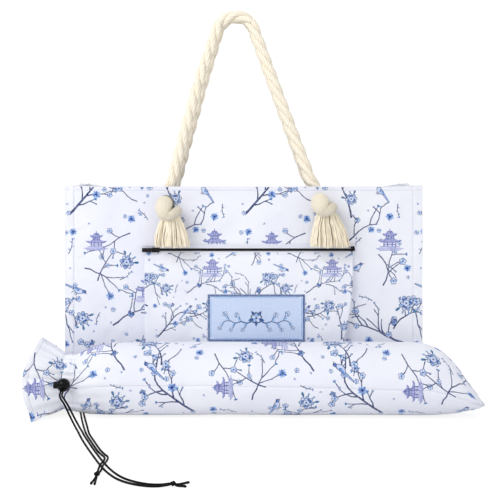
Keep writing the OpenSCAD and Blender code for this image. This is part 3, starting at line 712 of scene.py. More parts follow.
def drawPrint():
    dice = random.Random(repeat["seed"])
    for at, heading, far, width, level in (
            ((14, 18), 1.05, 96, 3.4, 2), ((196, 12), 1.9, 84, 2.6, 2), ((290, 96), 2.5, 92, 3.0, 2),
            ((88, 128), 0.35, 88, 2.2, 2), ((40, 226), -0.4, 70, 1.8, 1), ((176, 258), 0.55, 78, 2.4, 2),
            ((250, 196), 1.3, 66, 1.8, 1), ((118, 286), -2.5, 60, 1.6, 1), ((130, 40), 2.6, 40, 1.4, 1),
            ((222, 140), -1.0, 48, 1.5, 1), ((268, 122), 0.8, 62, 2.2, 2), ((62, 204), 1.3, 58, 1.8, 1),
            ((136, 150), -0.5, 52, 1.6, 1), ((6, 150), -1.1, 52, 1.6, 1), ((242, 250), -0.7, 54, 1.8, 1),
            ((96, 70), -0.1, 58, 2.0, 1)):
        twig(at, heading, far, width, level, dice)
    for at, size, heading, flip in (((92, 84), 26, 0.5, 1), ((246, 58), 24, 2.5, -1),
                                    ((28, 188), 25, -0.75, 1), ((205, 226), 22, 0.2, 1)):
        bird(at, size, heading, flip)
    for at, size in (((152, 176), 38), ((262, 262), 30), ((60, 262), 26)):
        tower(at, size)
    for at, size, turn in (((150, 96), 15, 0.6), ((36, 140), 13, 2.6), ((290, 166), 14, 1.5),
                           ((112, 236), 13, 4.0), ((196, 44), 11, 5.2)):
        peony(at, size, turn)
    for at, size in (((60, 52), 8.5), ((120, 10), 8), ((226, 102), 8.5), ((84, 178), 8), ((186, 132), 7),
                     ((262, 14), 8), ((8, 96), 7), ((150, 222), 7.5), ((230, 292), 7), ((20, 288), 7.5),
                     ((292, 226), 7.5)):
        starFlower(at, size, dice.uniform(0, 6))
    for at, size, heading in (((118, 146), 8, 1.0), ((270, 132), 8, 2.2), ((170, 292), 7.5, 0.4),
                              ((54, 98), 6.5, 2.8)):
        butterfly(at, size, heading)
    for at, heading, far in (((172, 74), 1.2, 24), ((12, 250), 0.9, 26), ((232, 170), 2.4, 22),
                             ((100, 206), 0.2, 24), ((276, 36), 4.4, 22), ((148, 8), 1.9, 22),
                             ((214, 278), 3.6, 20), ((66, 150), 4.0, 20)):
        sprig(at, heading, far)
    for k in range(46):
        at = (dice.uniform(0, 300), dice.uniform(0, 300))
        if dice.random() < 0.5:
            blossom(at, dice.uniform(3.0, 4.2), dice.uniform(0, 6))
        else:
            way = dice.uniform(0, 6)
            petal(at, way, 5, 1.8, "lilac")
            petal(at, way + 0.8, 4, 1.6, "teal")


def triangulated(low, high, figures, gridStep):
    # one rectangle of cloth cut into triangles along its figures, with each triangle's ink
    verts = [(low[0], low[1]), (high[0], low[1]), (high[0], high[1]), (low[0], high[1])]
    faces, inks = [[0, 1, 2, 3]], [inkNames.index("cloth")]
    nx = max(1, int(round((high[0] - low[0]) / gridStep)))
    ny = max(1, int(round((high[1] - low[1]) / gridStep)))
    verts += [(low[0] + (high[0] - low[0]) * i / nx, low[1] + (high[1] - low[1]) * j / ny)
              for i in range(nx + 1) for j in range(ny + 1)]
    for points, ink in figures:
        start = len(verts)
        verts.extend(map(tuple, points))
        faces.append(list(range(start, start + len(points))))
        inks.append(ink)
    out = delaunay_2d_cdt([Vector(v) for v in verts], [], faces, 1, 1e-4, True)
    keep = [i for i, owners in enumerate(out[5]) if 0 in owners]
    flat = np.array([tuple(v) for v in out[0]])
    tris = np.array([out[2][i] for i in keep])
    ink = np.array([inks[max(out[5][i])] for i in keep])
    return flat, tris, ink


def makeRepeat():
    drawPrint()
    size, side = repeat["size"], repeat["size"] / repeat["tiles"]
    boxes = np.array([np.concatenate([p.min(axis=0), p.max(axis=0)]) for p, _ in shapes])
    flats, triangles, paints, base = [], [], [], 0
    for i in range(repeat["tiles"]):
        for j in range(repeat["tiles"]):
            low = np.array([i * side, j * side])
            found = []
            for sx in (-size, 0, size):
                for sy in (-size, 0, size):
                    shift = np.array([sx, sy])
                    lo, hi = boxes[:, :2] + shift, boxes[:, 2:] + shift
                    hit = np.where((hi > low).all(axis=1) & (lo < low + side).all(axis=1))[0]
                    found += [(k, shift) for k in hit]
            found.sort(key=lambda pair: pair[0])
            figures = [(shapes[k][0] + shift, shapes[k][1]) for k, shift in found]
            flat, tris, ink = triangulated(low, low + side, figures, repeat["step"])
            flats.append(flat)
            triangles.append(tris + base)
            paints.append(ink)
            base += len(flat)
    return np.vstack(flats), np.vstack(triangles), np.concatenate(paints)


repeatFlat, repeatTris, repeatInk = makeRepeat()
say(f"the print has {len(shapes)} shapes and {len(repeatTris)} triangles a repeat")


def cutCloth(low, high, scale=1.0, start=(0.0, 0.0), turned=False, lines=(), fine=None, holes=()):
    # printed cloth cut to a rectangle low..high of a panel; scale sizes the print on it
    # lines are (axis, place) where a seam needs closer edges; fine is (axis, from, to, longest)
    low, high = np.array(low, float), np.array(high, float)
    size = repeat["size"] * scale
    centres = (repeatFlat[repeatTris].mean(axis=1)) * scale
    flats, tris, inks, base = [], [], [], 0
    margin = 12.0 * scale
    (u0, u1), (v0, v1) = (low[0], high[0]), (low[1], high[1])
    if turned:
        (u0, u1), (v0, v1) = (low[1], high[1]), (-high[0], -low[0])
    shift0 = np.array(start) * scale
    for i in range(math.floor((u0 - shift0[0]) / size), math.floor((u1 - shift0[0]) / size) + 1):
        for j in range(math.floor((v0 - shift0[1]) / size), math.floor((v1 - shift0[1]) / size) + 1):
            shift = np.array([i * size, j * size]) + shift0
            c = centres + shift
            near = ((c[:, 0] > u0 - margin) & (c[:, 0] < u1 + margin)
                    & (c[:, 1] > v0 - margin) & (c[:, 1] < v1 + margin))
            if near.any():
                used, back = np.unique(repeatTris[near], return_inverse=True)
                flats.append(repeatFlat[used] * scale + shift)
                tris.append(back.reshape(-1, 3) + base)
                inks.append(repeatInk[near])
                base += len(used)
    flat, tri, ink = np.vstack(flats), np.vstack(tris), np.concatenate(inks)
    if turned:
        flat = asRows(-flat[:, 1], flat[:, 0])
    return trimmed(flat, tri, ink, low, high, lines, fine, holes)


def trimmed(flat, tri, ink, low, high, lines=(), fine=None, holes=()):
    mesh = bpy.data.meshes.new("cutting")
    mesh.from_pydata(np.hstack([flat, np.zeros((len(flat), 1))]).tolist(), [], tri.tolist())
    mesh.polygons.foreach_set("material_index", ink.astype(np.int32))
    bm = bmesh.new()
    bm.from_mesh(mesh)
    bmesh.ops.remove_doubles(bm, verts=bm.verts, dist=0.02)

    def bisect(axis, place, way=1, clear=False):
        point, normal = [0, 0, 0], [0, 0, 0]
        point[axis], normal[axis] = place, way
        bmesh.ops.bisect_plane(bm, geom=bm.verts[:] + bm.edges[:] + bm.faces[:], dist=0.01,
                               plane_co=point, plane_no=normal, clear_outer=clear)
    for axis in (0, 1):
        bisect(axis, low[axis], -1, True)
        bisect(axis, high[axis], 1, True)
    for axis, place in lines:
        for off in (-2.6, -1.2, 0, 1.2, 2.6):
            bisect(axis, place + off)
    bmesh.ops.triangulate(bm, faces=bm.faces[:])
    if fine:
        axis, start, end, longest = fine
        for _ in range(2):
            long = [e for e in bm.edges if e.calc_length() > longest
                    and start < (e.verts[0].co[axis] + e.verts[1].co[axis]) / 2 < end]
            if not long:
                break
            bmesh.ops.subdivide_edges(bm, edges=long, cuts=1)
            bmesh.ops.triangulate(bm, faces=bm.faces[:])
    if holes:
        middles = [(f, f.calc_center_median()) for f in bm.faces]
        gone = [f for f, at in middles if any(math.hypot(at.x - x, at.y - y) < r for x, y, r in holes)]
        bmesh.ops.delete(bm, geom=gone, context="FACES")
        # what is left of the cut edge goes onto the circle
        for vert in [v for v in bm.verts if v.is_boundary]:
            for x, y, r in holes:
                far = math.hypot(vert.co.x - x, vert.co.y - y)
                if 0.3 * r < far < 1.7 * r and low[1] + 1 < vert.co.y < high[1] - 1:
                    vert.co.x, vert.co.y = x + (vert.co.x - x) * r / far, y + (vert.co.y - y) * r / far
    bm.to_mesh(mesh)
    bm.free()
    co = np.empty(len(mesh.vertices) * 3)
    mesh.vertices.foreach_get("co", co)
    corners = np.empty(len(mesh.loops), np.int32)
    mesh.loops.foreach_get("vertex_index", corners)
    slots = np.empty(len(mesh.polygons), np.int32)
    mesh.polygons.foreach_get("material_index", slots)
    bpy.data.meshes.remove(mesh)
    flat, tri = co.reshape(-1, 3)[:, :2], corners.reshape(-1, 3)
    a, b, c = flat[tri[:, 0]], flat[tri[:, 1]], flat[tri[:, 2]]
    turned = (b[:, 0] - a[:, 0]) * (c[:, 1] - a[:, 1]) - (b[:, 1] - a[:, 1]) * (c[:, 0] - a[:, 0])
    tri = np.where(turned[:, None] < 0, tri[:, ::-1], tri)
    return flat, tri, inkTable[slots]


def normalsOf(surface, u, v):
    # how the surface faces at each point, from two tiny steps along it
    e = 0.05
    du = surface(u + e, v) - surface(u - e, v)
    dv = surface(u, v + e) - surface(u, v - e)
    n = np.cross(du, dv)
    return n / (np.linalg.norm(n, axis=1)[:, None] + 1e-12)


def clothParts(surface, low, high, cut, thick, inside=12.0, edges=(1, 1, 1, 1), lining=1):
    # a printed face laid on the surface, a lining under it, and folded edges round both
    # edges gives how far each fold stands out: left, right, bottom, top
    low, high = np.array(low, float), np.array(high, float)
    span = high - low
    flat, tri, ink = cut
    share = (flat - low) / span
    bake = asRows(0.004 + 0.992 * share[:, 0], 0.28 + 0.715 * share[:, 1])[tri]
    parts = [{"verts": surface(*flat.T), "faces": tri, "uv": flat[tri] * mm, "bake": bake,
              "ink": ink, "normals": normalsOf(surface, *flat.T)}]
    nu, nv = [max(3, int(far / inside) + 1) for far in span]
    u, v = spread(low, high, nu, nv).T
    normals = normalsOf(surface, u, v)
    faces, places = grid(nv, nu, flip=True)
    shares = places / (nu - 1, nv - 1)
    parts.append({"verts": surface(u, v) - normals * thick, "faces": faces, "normals": -normals,
                  "uv": (shares * span + low) * mm,
                  "bake": shares * (0.992, 0.22) + (0.004, 0.035), "slot": lining})
    turn = np.linspace(0, pi, 6)
    for k, stands in enumerate(edges):
        if stands is None:
            continue
        axis, end = k // 2, k % 2
        count = 2 * (nv if axis == 0 else nu)
        place = [np.linspace(low[1 - axis], high[1 - axis], count)]
        place.insert(axis, np.full(count, (low, high)[end][axis]))
        p, n = surface(*place), normalsOf(surface, *place)
        place[axis] = place[axis] + (1 - 2 * end) * 0.5
        out = p - surface(*place)
        out = out / (np.linalg.norm(out, axis=1)[:, None] + 1e-9)
        rows = [p - n * thick * (1 - math.cos(a)) / 2 + out * (thick / 2 * stands) * math.sin(a)
                for a in turn]
        facing = [n * math.cos(a) + out * math.sin(a) for a in turn]
        faces, places = grid(len(turn), count, flip=(axis == 0) == (end == 0))
        shares = places / (count - 1, len(turn) - 1)
        parts.append({"verts": np.vstack(rows), "faces": faces, "uv": shares * (span[1 - axis] * mm, 0.01),
                      "bake": shares * (0.22, 0.02) + (0.01 + 0.25 * k, 0.006),
                      "normals": np.vstack(facing), "slot": lining})
    return [turnedRight(part) for part in parts]


def plainParts(surface, low, high, thick, fine, edges=(0.5, 0.5, 0.5, 0.5), counts=None):
    # an unprinted sheet, its face cut into a net of squares
    nu, nv = counts or [max(3, int((b - a) / fine) + 1) for a, b in zip(low, high)]
    faces = grid(nv, nu)[0]
    cut = spread(low, high, nu, nv), faces, np.tile(inkTable[0], (len(faces), 1))
    return clothParts(surface, low, high, cut, thick, fine, edges, lining=0)


# tote
tote = {"wide": 610.0, "high": 370.0, "deep": 130.0, "thick": 3.0, "eyeletX": 132.5, "eyeletZ": 341.0,
        "holeR": 12.6, "stitchZ": 363.5, "seam": 290.0, "sagFront": 1.5, "sagRear": 6.0,
        "baseX": 287.0, "baseY": 62.0, "facingLow": 308.0, "facingSeam": 313.0}
pocket = {"left": -169.0, "right": 187.0, "low": 78.0, "high": 257.0, "zip": 261.5}
frontY = -tote["deep"] / 2
half = tote["wide"] / 2


def ripple(u, v, seed=0.0):
    # slow waves of hanging cloth, about one unit high
    return (0.5 * np.sin(u / 71 + v / 190 + 1.3 + seed) * np.sin(v / 57 + 0.4 + seed * 2)
            + 0.32 * np.sin(u / 33 + v / 49 + 2.1 + seed) + 0.2 * np.sin(v / 23 - u / 60 + seed * 3))


def groove(distance, depth, width=1.1):
    return depth * np.exp(-(distance / width) ** 2)


def panelDepth(u, v, seed=0.0, withPocket=True):
    # how far the panel stands out of its flat place
    calm = np.ones_like(u)
    for x in (-tote["eyeletX"], tote["eyeletX"]):
        calm = calm * easeIn(np.hypot(u - x, v - tote["eyeletZ"]), 20, 60)
    if withPocket:
        away = np.maximum(np.maximum(pocket["left"] - u, u - pocket["right"]),
                          np.maximum(pocket["low"] - v, v - pocket["zip"] - 8))
        calm = calm * easeIn(away, 4, 40)
    calm = calm * easeIn(v, 0, 60)
    wave = 1.5 * ripple(u, v, seed) * calm
    fin = easeIn(np.abs(u), tote["seam"] + 1, tote["seam"] + 12)
    wave = wave * (1 - fin) + fin * (1.3 * np.sin(v / 21 + seed + np.sign(u)) - 0.3)
    pucker = 0.35 * np.sin(v / 2.6) * np.exp(-((np.abs(u) - tote["seam"]) / 7) ** 2)
    return wave - groove(np.abs(u) - tote["seam"], 1.3) - groove(v - tote["stitchZ"], 0.7) + pucker


def rimSag(u, v, far):
    # the rim hangs lower between the corners
    return v - far * easeIn(half - np.abs(u), 2, 60) * easeIn(v, 352, 371)


def frontSurface(u, v):
    return asRows(u, frontY - panelDepth(u, v), rimSag(u, v, tote["sagFront"]))


def rearSurface(u, v):
    # the same panel seen from behind, so its u runs the other way
    return asRows(-u, -frontY + panelDepth(u, v, 2.0, False), rimSag(u, v, tote["sagRear"]))


def makeTote():
    side, top = tote["seam"], tote["high"]
    holes = [(x, tote["eyeletZ"], tote["holeR"]) for x in (-tote["eyeletX"], tote["eyeletX"])]
    for name, surface, start in (("front_panel", frontSurface, (-12.0, 4.0)),
                                 ("rear_panel", rearSurface, (90.0, -60.0))):
        low, high = (-half, 0.0), (half, top)
        seams = [(0, -side), (0, side), (1, tote["stitchZ"])]
        cut = cutCloth(low, high, 1.0, start, lines=seams, holes=holes)
        parts = clothParts(surface, low, high, cut, tote["thick"], edges=(0.8, 0.8, 0.0, 0.8))
        addPiece(name + "_cloth", "tote", parts, printed, [name], "printed_cloth")
    say("front and rear panels are cut and sewn")

    for sign, name in ((-1, "left_gusset"), (1, "right_gusset")):
        def gusset(u, v, sign=sign):
            bow = -4.5 * np.cos(u / 62 * pi / 2) ** 2 * easeIn(v, 0, 120)
            return asRows(sign * (side + bow + 0.5 * ripple(u * 2, v, 4.0)), sign * u, v)
        low, high = (-tote["baseY"], 0.0), (tote["baseY"], top)
        cut = cutCloth(low, high, 1.0, (40.0 * sign, 130.0), lines=[(1, tote["stitchZ"])])
        parts = clothParts(gusset, low, high, cut, tote["thick"], edges=(0, 0, 0, 0.8))
        addPiece(name + "_cloth", "tote", parts, printed, [name], "printed_cloth")

    # plain pieces: the base, the turned allowances behind the fins, the facing in the rim
    def base(u, v):
        return asRows(u, -v, np.zeros_like(u) + 0.01 + 0.15 * (1 + ripple(u, v)))
    low, high = (-tote["baseX"], -tote["baseY"]), (tote["baseX"], tote["baseY"])
    parts = plainParts(base, low, high, 2.6, 8.0, (0, 0, 0, 0))
    addPiece("base_panel_cloth", "tote", parts, [plainCloth], ["base_panel"], "plain_cloth")
    parts = []
    for sx in (-1, 1):
        for sy in (-1, 1):
            def strip(u, v, sx=sx, sy=sy):
                # faces inward, lying against the back of the fin
                if sx * sy < 0:
                    u = 15.0 - u
                wave = 1.2 * np.sin(v / 21 + sx) * easeIn(u, 3, 14)
                return asRows(sx * (side + u), sy * (60.2 + wave * 0.6), v)
            parts += plainParts(strip, (0.4, 0.6), (14.6, top - 1.5), 1.6, 3.6)
    addPiece("seam_allowance_cloth", "tote", parts, [plainCloth], ["seam_allowances"], "plain_cloth")

    corners = [np.array((x * 286.6, y * 61.7)) for x, y in ((-1, -1), (1, -1), (1, 1), (-1, 1))]
    parts = []
    for k, sag in enumerate((tote["sagFront"], 0, tote["sagRear"], 0)):
        a, b = corners[k], corners[(k + 1) % 4]
        far = np.linalg.norm(b - a)
        way = (b - a) / far

        def facing(u, v, a=a, way=way, far=far, k=k, sag=sag):
            pull = 1.1 + 0.35 * (1 + ripple(u, v, k)) * easeIn(top - v, 4, 40)
            flat = a + way * (far - u)[:, None] + np.array([-way[1], way[0]]) * pull[:, None]
            return asRows(flat[:, 0], flat[:, 1], rimSag(flat[:, 0], v, sag))
        holes = [(far / 2 + x, tote["eyeletZ"], tote["holeR"]) for x in (-tote["eyeletX"], tote["eyeletX"])]
        low, high = (1.3, tote["facingLow"]), (far - 1.3, 369.3)
        nu, nv = int(far / 5) + 1, 14
        faces = grid(nv, nu)[0]
        tris = np.vstack([faces[:, (0, 1, 2)], faces[:, (0, 2, 3)]])
        cut = trimmed(spread(low, high, nu, nv), tris, np.zeros(len(tris), int), low, high,
                      [(1, tote["facingSeam"])], holes=() if k % 2 else holes)
        parts += clothParts(facing, low, high, cut, 1.0, 6.0, (), lining=0)
    addPiece("rim_facing_cloth", "tote", parts, [plainCloth], ["rim_facing"], "plain_cloth")


makeTote()
say("tote shell is made")


# eyelets
eyelet = {"bore": 11.2, "tube": 12.0, "flange": 13.7, "sides": 56}


def lathe(profile, sides, at, way):
    # a closed outline of (reach out along the axis, radius) turned round an axis through at
    turn = roundTurn(sides)
    rings = [asRows(at[0] + r * np.cos(turn), at[1] + way * out, at[2] + r * np.sin(turn))
             for out, r in profile]
    faces = grid(len(profile), sides, closedRows=True, closedColumns=True, flip=way < 0)[0]
    return {"verts": np.vstack(rings), "faces": faces}


def makeEyelets():
    bore, tube, flange = eyelet["bore"], eyelet["tube"], eyelet["flange"]
    outline = [(0.05, flange - 0.3), (0.5, flange), (1.1, flange - 0.3), (1.5, flange - 0.9),
               (1.5, tube + 0.4), (1.2, tube + 0.1), (0.6, bore + 0.1), (0, bore), (-4.4, bore),
               (-4.9, bore + 0.1), (-5.35, tube + 0.4), (-5.4, flange - 0.9), (-5.2, flange - 0.4),
               (-4.8, flange), (-4.3, flange - 0.2), (-4.25, tube), (0.02, tube)]
    for name, way in (("front_eyelets", -1), ("rear_eyelets", 1)):
        parts = [lathe(outline, eyelet["sides"], (x, -way * frontY, tote["eyeletZ"]), way)
                 for x in (-tote["eyeletX"], tote["eyeletX"])]
        addPiece(name + "_metal", "tote", parts, [eyeletMetal], [name], "eyelet_metal", sharp=50)


makeEyelets()


# rope
rope = {"width": 20.5, "strands": 3, "pitch": 86.0, "step": 2.6, "sides": 14}
handle = {"rise": 290.0, "footLeft": -122.0, "footRight": 115.0, "crownX": -14.0, "crownR": 31.5,
          "crownV": 258.5, "riserY": 49.05, "hingeZ": 382.0, "crownY": 10.45,
          "bowLeft": ((0, 30, 100, 175, 225, 258, 286), (1.0, 3.0, 5.0, 7.0, 6.6, 4.2, 0)),
          "bowRight": ((150, 200, 235, 268), (0, 1, 3, 1.5))}


def ropeParts(path, width, pitch, sides):
    # three soft strands laid round each other; each is wider than it is deep
    along, side, up = framesAlong(path)
    far = lengths(path)
    turn = -2 * pi * far / pitch
    r, psi = width / 2, roundTurn(sides)
    distance = np.append(far, far[-1] + rope["step"])
    parts = []
    for k in range(rope["strands"]):
        angle = turn + 2 * pi * k / rope["strands"]
        out = side * np.cos(angle)[:, None] + up * np.sin(angle)[:, None]
        across = np.cross(along, out)
        ring = (out[:, None] * (r * (0.50 + 0.49 * np.cos(psi)))[None, :, None]
                + across[:, None] * (r * 0.56 * np.sin(psi))[None, :, None])
        verts = (path[:, None] + ring).reshape(-1, 3)
        faces, places = grid(len(path), sides, closedColumns=True)
        uv = np.stack([places[..., 0] / sides, distance[places[..., 1].astype(int)] * mm], axis=-1)
        parts.append({"verts": verts, "faces": faces, "uv": uv})
        for row, turned in ((0, 1), (len(path) - 1, -1)):
            rim = row * sides + np.arange(sides)
            centre = verts[rim].mean(axis=0)[None]
            fan = asRows(sides, np.roll(np.arange(sides), -turned), np.arange(sides))
            parts.append({"verts": np.vstack([verts[rim], centre]), "faces": fan,
                          "uv": np.zeros((sides, 3, 2))})
    return parts


def handlePath(way):
    # from one eyelet up inside the rim, over the crown and down to the other
    h = handle
    lean = math.asin((h["riserY"] - h["crownY"]) / h["rise"])
    eyeletZ, bend = tote["eyeletZ"], rope["width"] / 2 + 0.75
    ends, leans = [], []
    for x, foot in ((-tote["eyeletX"], h["footLeft"]), (tote["eyeletX"], h["footRight"])):
        end = [(x, -72.0, eyeletZ), (x, -66.0, eyeletZ)]
        end += [(x, -h["riserY"] - bend + bend * math.sin(a), eyeletZ + bend - bend * math.cos(a))
                for a in np.radians((15, 45, 70))]
        end += [(x + (foot - x) * t, -h["riserY"], 355.0 + 27.0 * t) for t in (0.3, 0.75)]
        ends.append(end)
        dx = abs(foot - h["crownX"])
        leans.append(math.atan(dx / h["crownV"]) - math.asin(h["crownR"] / math.hypot(dx, h["crownV"])))
    leftLean, rightLean = leans
    leg = (0, 60, 120, 180)
    flat = [(h["footLeft"] + far * math.sin(leftLean), far * math.cos(leftLean)) for far in leg]
    for a in np.linspace(pi - leftLean, rightLean, 9):
        flat.append((h["crownX"] + h["crownR"] * math.cos(a), h["crownV"] + h["crownR"] * math.sin(a)))
    flat += [(h["footRight"] - far * math.sin(rightLean), far * math.cos(rightLean)) for far in leg[::-1]]
    # the legs bow out a little; the rear handle bows less, so slivers of it show inside the front one
    bow = 1.0 if way < 0 else 0.45

    def bowed(x, v):
        if x < h["crownX"] - 2:
            return x - bow * float(np.interp(v, *handle["bowLeft"]))
        if x > h["crownX"] + 8:
            return x + bow * float(np.interp(v, *handle["bowRight"]))
        return x
    middle = [(bowed(x, v), v * math.sin(lean) - h["riserY"], v * math.cos(lean) + h["hingeZ"])
              for x, v in flat]
    path = smoothPath(ends[0] + middle + ends[1][::-1], rope["step"])
    return path if way < 0 else path[::-1] * (1, -1, 1)


def makeHandles():
    for name, way in (("front_handle", -1), ("rear_handle", 1)):
        path = handlePath(way)
        piece = addPiece(name + "_rope", None, ropeParts(path, rope["width"], rope["pitch"], rope["sides"]),
                         [cottonRope], [name], "cotton_rope")
        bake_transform(piece)


makeHandles()
say("rope handles are laid")


# knots and tassels
knots = {
    "left": {"at": (-125.5, -88.05, 334.0), "sign": -1, "lean": 5.0, "wide": 29.5,
             "bulb": ((-7.4, 10, 6.8), (-8.4, 0, 6.4), (-9.0, -6, 1.2), (-7.6, -6.5, -5.5),
                      (-4.5, -3, -11.5), (-1, 0, -16)),
             "fat": (9.6, 11.4, 13.3, 13.8, 12.8, 9.5)},
    "right": {"at": (136.0, -88.05, 341.0), "sign": 1, "lean": 10.5, "wide": 34.0,
              "bulb": ((-6.4, 10, 3.0), (-7.0, 0, 2.6), (-7.3, -6, -0.5), (-6.0, -6.5, -5),
                       (-3.0, -3, -10.5), (0, 0, -15)),
              "fat": (9.6, 12.6, 15.0, 15.6, 13.6, 10.0)}}
knotTurn = {"at": (6.8, -1.5, -10.4), "slant": 36, "wide": 8.6, "deep": 14.4, "thick": 7.8}
tassel = {"yarns": 300, "yarnWidth": 2.0, "cutZ": 267.6, "deep": 12.0, "topWide": 14.5,
          "wander": 3.0, "sides": 5, "seed": 3}


def node(tree, kind, settings=None, **inputs):
    # a key such as i0 is an input's number; any other key is its name
    made = tree.nodes.new(kind)
    for key, value in (settings or {}).items():
        setattr(made, key, value)
    for key, value in inputs.items():
        key = int(key[1:]) if key[1:].isdigit() else key.replace("_", " ")
        if isinstance(value, bpy.types.NodeSocket):
            tree.links.new(value, made.inputs[key])
        else:
            made.inputs[key].default_value = value
    return made.outputs


def openTree(name, inputs):
    # a geometry tree that starts from the given lines as curves
    tree = bpy.data.node_groups.new(name, "GeometryNodeTree")
    tree.interface.new_socket("Geometry", in_out="INPUT", socket_type="NodeSocketGeometry")
    for label, value in inputs.items():
        kind = {int: "Int", float: "Float"}.get(type(value), "Material")
        tree.interface.new_socket(label, in_out="INPUT", socket_type="NodeSocket" + kind)
    tree.interface.new_socket("Geometry", in_out="OUTPUT", socket_type="NodeSocketGeometry")
    given = tree.nodes.new("NodeGroupInput").outputs
    return tree, given, node(tree, "GeometryNodeMeshToCurve", Mesh=given["Geometry"])[0]


def closeTree(tree, given, made, smooth=False):
    made = node(tree, "GeometryNodeRealizeInstances", Geometry=made)[0]
    if smooth:
        made = node(tree, "GeometryNodeSetShadeSmooth", Geometry=made)[0]
    done = node(tree, "GeometryNodeSetMaterial", Geometry=made, Material=given["Material"])
    node(tree, "NodeGroupOutput", Geometry=done[0])
    return tree


def yarnTree(inputs):
    # each line of the mesh becomes a thin wandering yarn
    tree, given, curve = openTree("yarns", inputs)
    where = node(tree, "GeometryNodeInputPosition")[0]
    noise = node(tree, "ShaderNodeTexNoise", {"noise_dimensions": "4D"}, Vector=where,
                 W=given["Seed"], Scale=95.0, Detail=1.0)["Color"]
    centred = node(tree, "ShaderNodeVectorMath", {"operation": "SUBTRACT"}, i0=noise, i1=(0.5, 0.5, 0.5))[0]
    scaled = node(tree, "ShaderNodeVectorMath", {"operation": "SCALE"}, i0=centred,
                  Scale=given["Wander"])[0]
    moved = node(tree, "GeometryNodeSetPosition", Geometry=curve, Offset=scaled)[0]
    ring = node(tree, "GeometryNodeCurvePrimitiveCircle", Resolution=given["Sides"],
                Radius=given["Radius"])[0]
    tube = node(tree, "GeometryNodeCurveToMesh", Curve=moved, Profile_Curve=ring, Fill_Caps=True)[0]
    return closeTree(tree, given, tube)


def stitchTree(inputs):
    # short rounded stitches set along every line, end to end with a gap
    tree, given, curve = openTree("stitches", inputs)
    points = node(tree, "GeometryNodeCurveToPoints", {"mode": "LENGTH"}, Curve=curve, Length=given["Pitch"])
    ball = node(tree, "GeometryNodeMeshIcoSphere", Radius=1.0, Subdivisions=1)[0]
    size = node(tree, "ShaderNodeCombineXYZ", X=given["Radius"], Y=given["Radius"], Z=given["Reach"])[0]
    stitch = node(tree, "GeometryNodeTransform", Geometry=ball, Scale=size)[0]
    placed = node(tree, "GeometryNodeInstanceOnPoints", Points=points["Points"], Instance=stitch,
                  Rotation=points["Rotation"])[0]
    return closeTree(tree, given, placed, smooth=True)


def toothTree(inputs):
    # rounded teeth in a row, set by turns to either side of the line
    tree, given, curve = openTree("zip_teeth", inputs)
    points = node(tree, "GeometryNodeCurveToPoints", {"mode": "LENGTH"}, Curve=curve, Length=given["Pitch"])
    index = node(tree, "GeometryNodeInputIndex")[0]
    odd = node(tree, "ShaderNodeMath", {"operation": "MODULO"}, i0=index, i1=2.0)[0]
    aside = node(tree, "ShaderNodeMath", {"operation": "MULTIPLY_ADD"}, i0=odd, i1=0.0014, i2=-0.0007)[0]
    offset = node(tree, "ShaderNodeCombineXYZ", Z=aside)[0]
    moved = node(tree, "GeometryNodeSetPosition", Geometry=points["Points"], Offset=offset)[0]
    ball = node(tree, "GeometryNodeMeshCylinder", Vertices=8, Radius=1.0, Depth=2.0)[0]
    size = node(tree, "ShaderNodeCombineXYZ", X=given["Half Pitch"], Y=given["Half Depth"],
                Z=given["Half Width"])[0]
    tooth = node(tree, "GeometryNodeTransform", Geometry=ball, Scale=size)[0]
    rows = node(tree, "GeometryNodeInstanceOnPoints", Points=moved, Instance=tooth)[0]
    return closeTree(tree, given, rows)


def grown(name, body, routes, makeTree, inputs, *rest, **more):
    # lines go in, the tree's result comes out as a plain mesh on its body
    verts, edges = [], []
    for route in routes:
        edges += [(len(verts) + k, len(verts) + k + 1) for k in range(len(route) - 1)]
        verts += [tuple(np.array(p) * mm) for p in route]
    lines = bpy.data.meshes.new(name + "_lines")
    lines.from_pydata(verts, edges, [])
    piece = linked(name, lines)
    tree = makeTree(inputs)
    modifier = piece.modifiers.new("nodes", "NODES")
    modifier.node_group = tree
    for item in tree.interface.items_tree:
        if item.in_out == "INPUT" and item.name in inputs:
            modifier[item.identifier] = inputs[item.name]
    result = bpy.data.meshes.new_from_object(piece.evaluated_get(bpy.context.evaluated_depsgraph_get()))
    piece.modifiers.remove(modifier)
    piece.data = result
    result.name = name
    if not result.materials or result.materials[0] is None:
        result.materials.clear()
        result.materials.append(inputs["Material"])
    return settled(piece, body, *rest, **more)


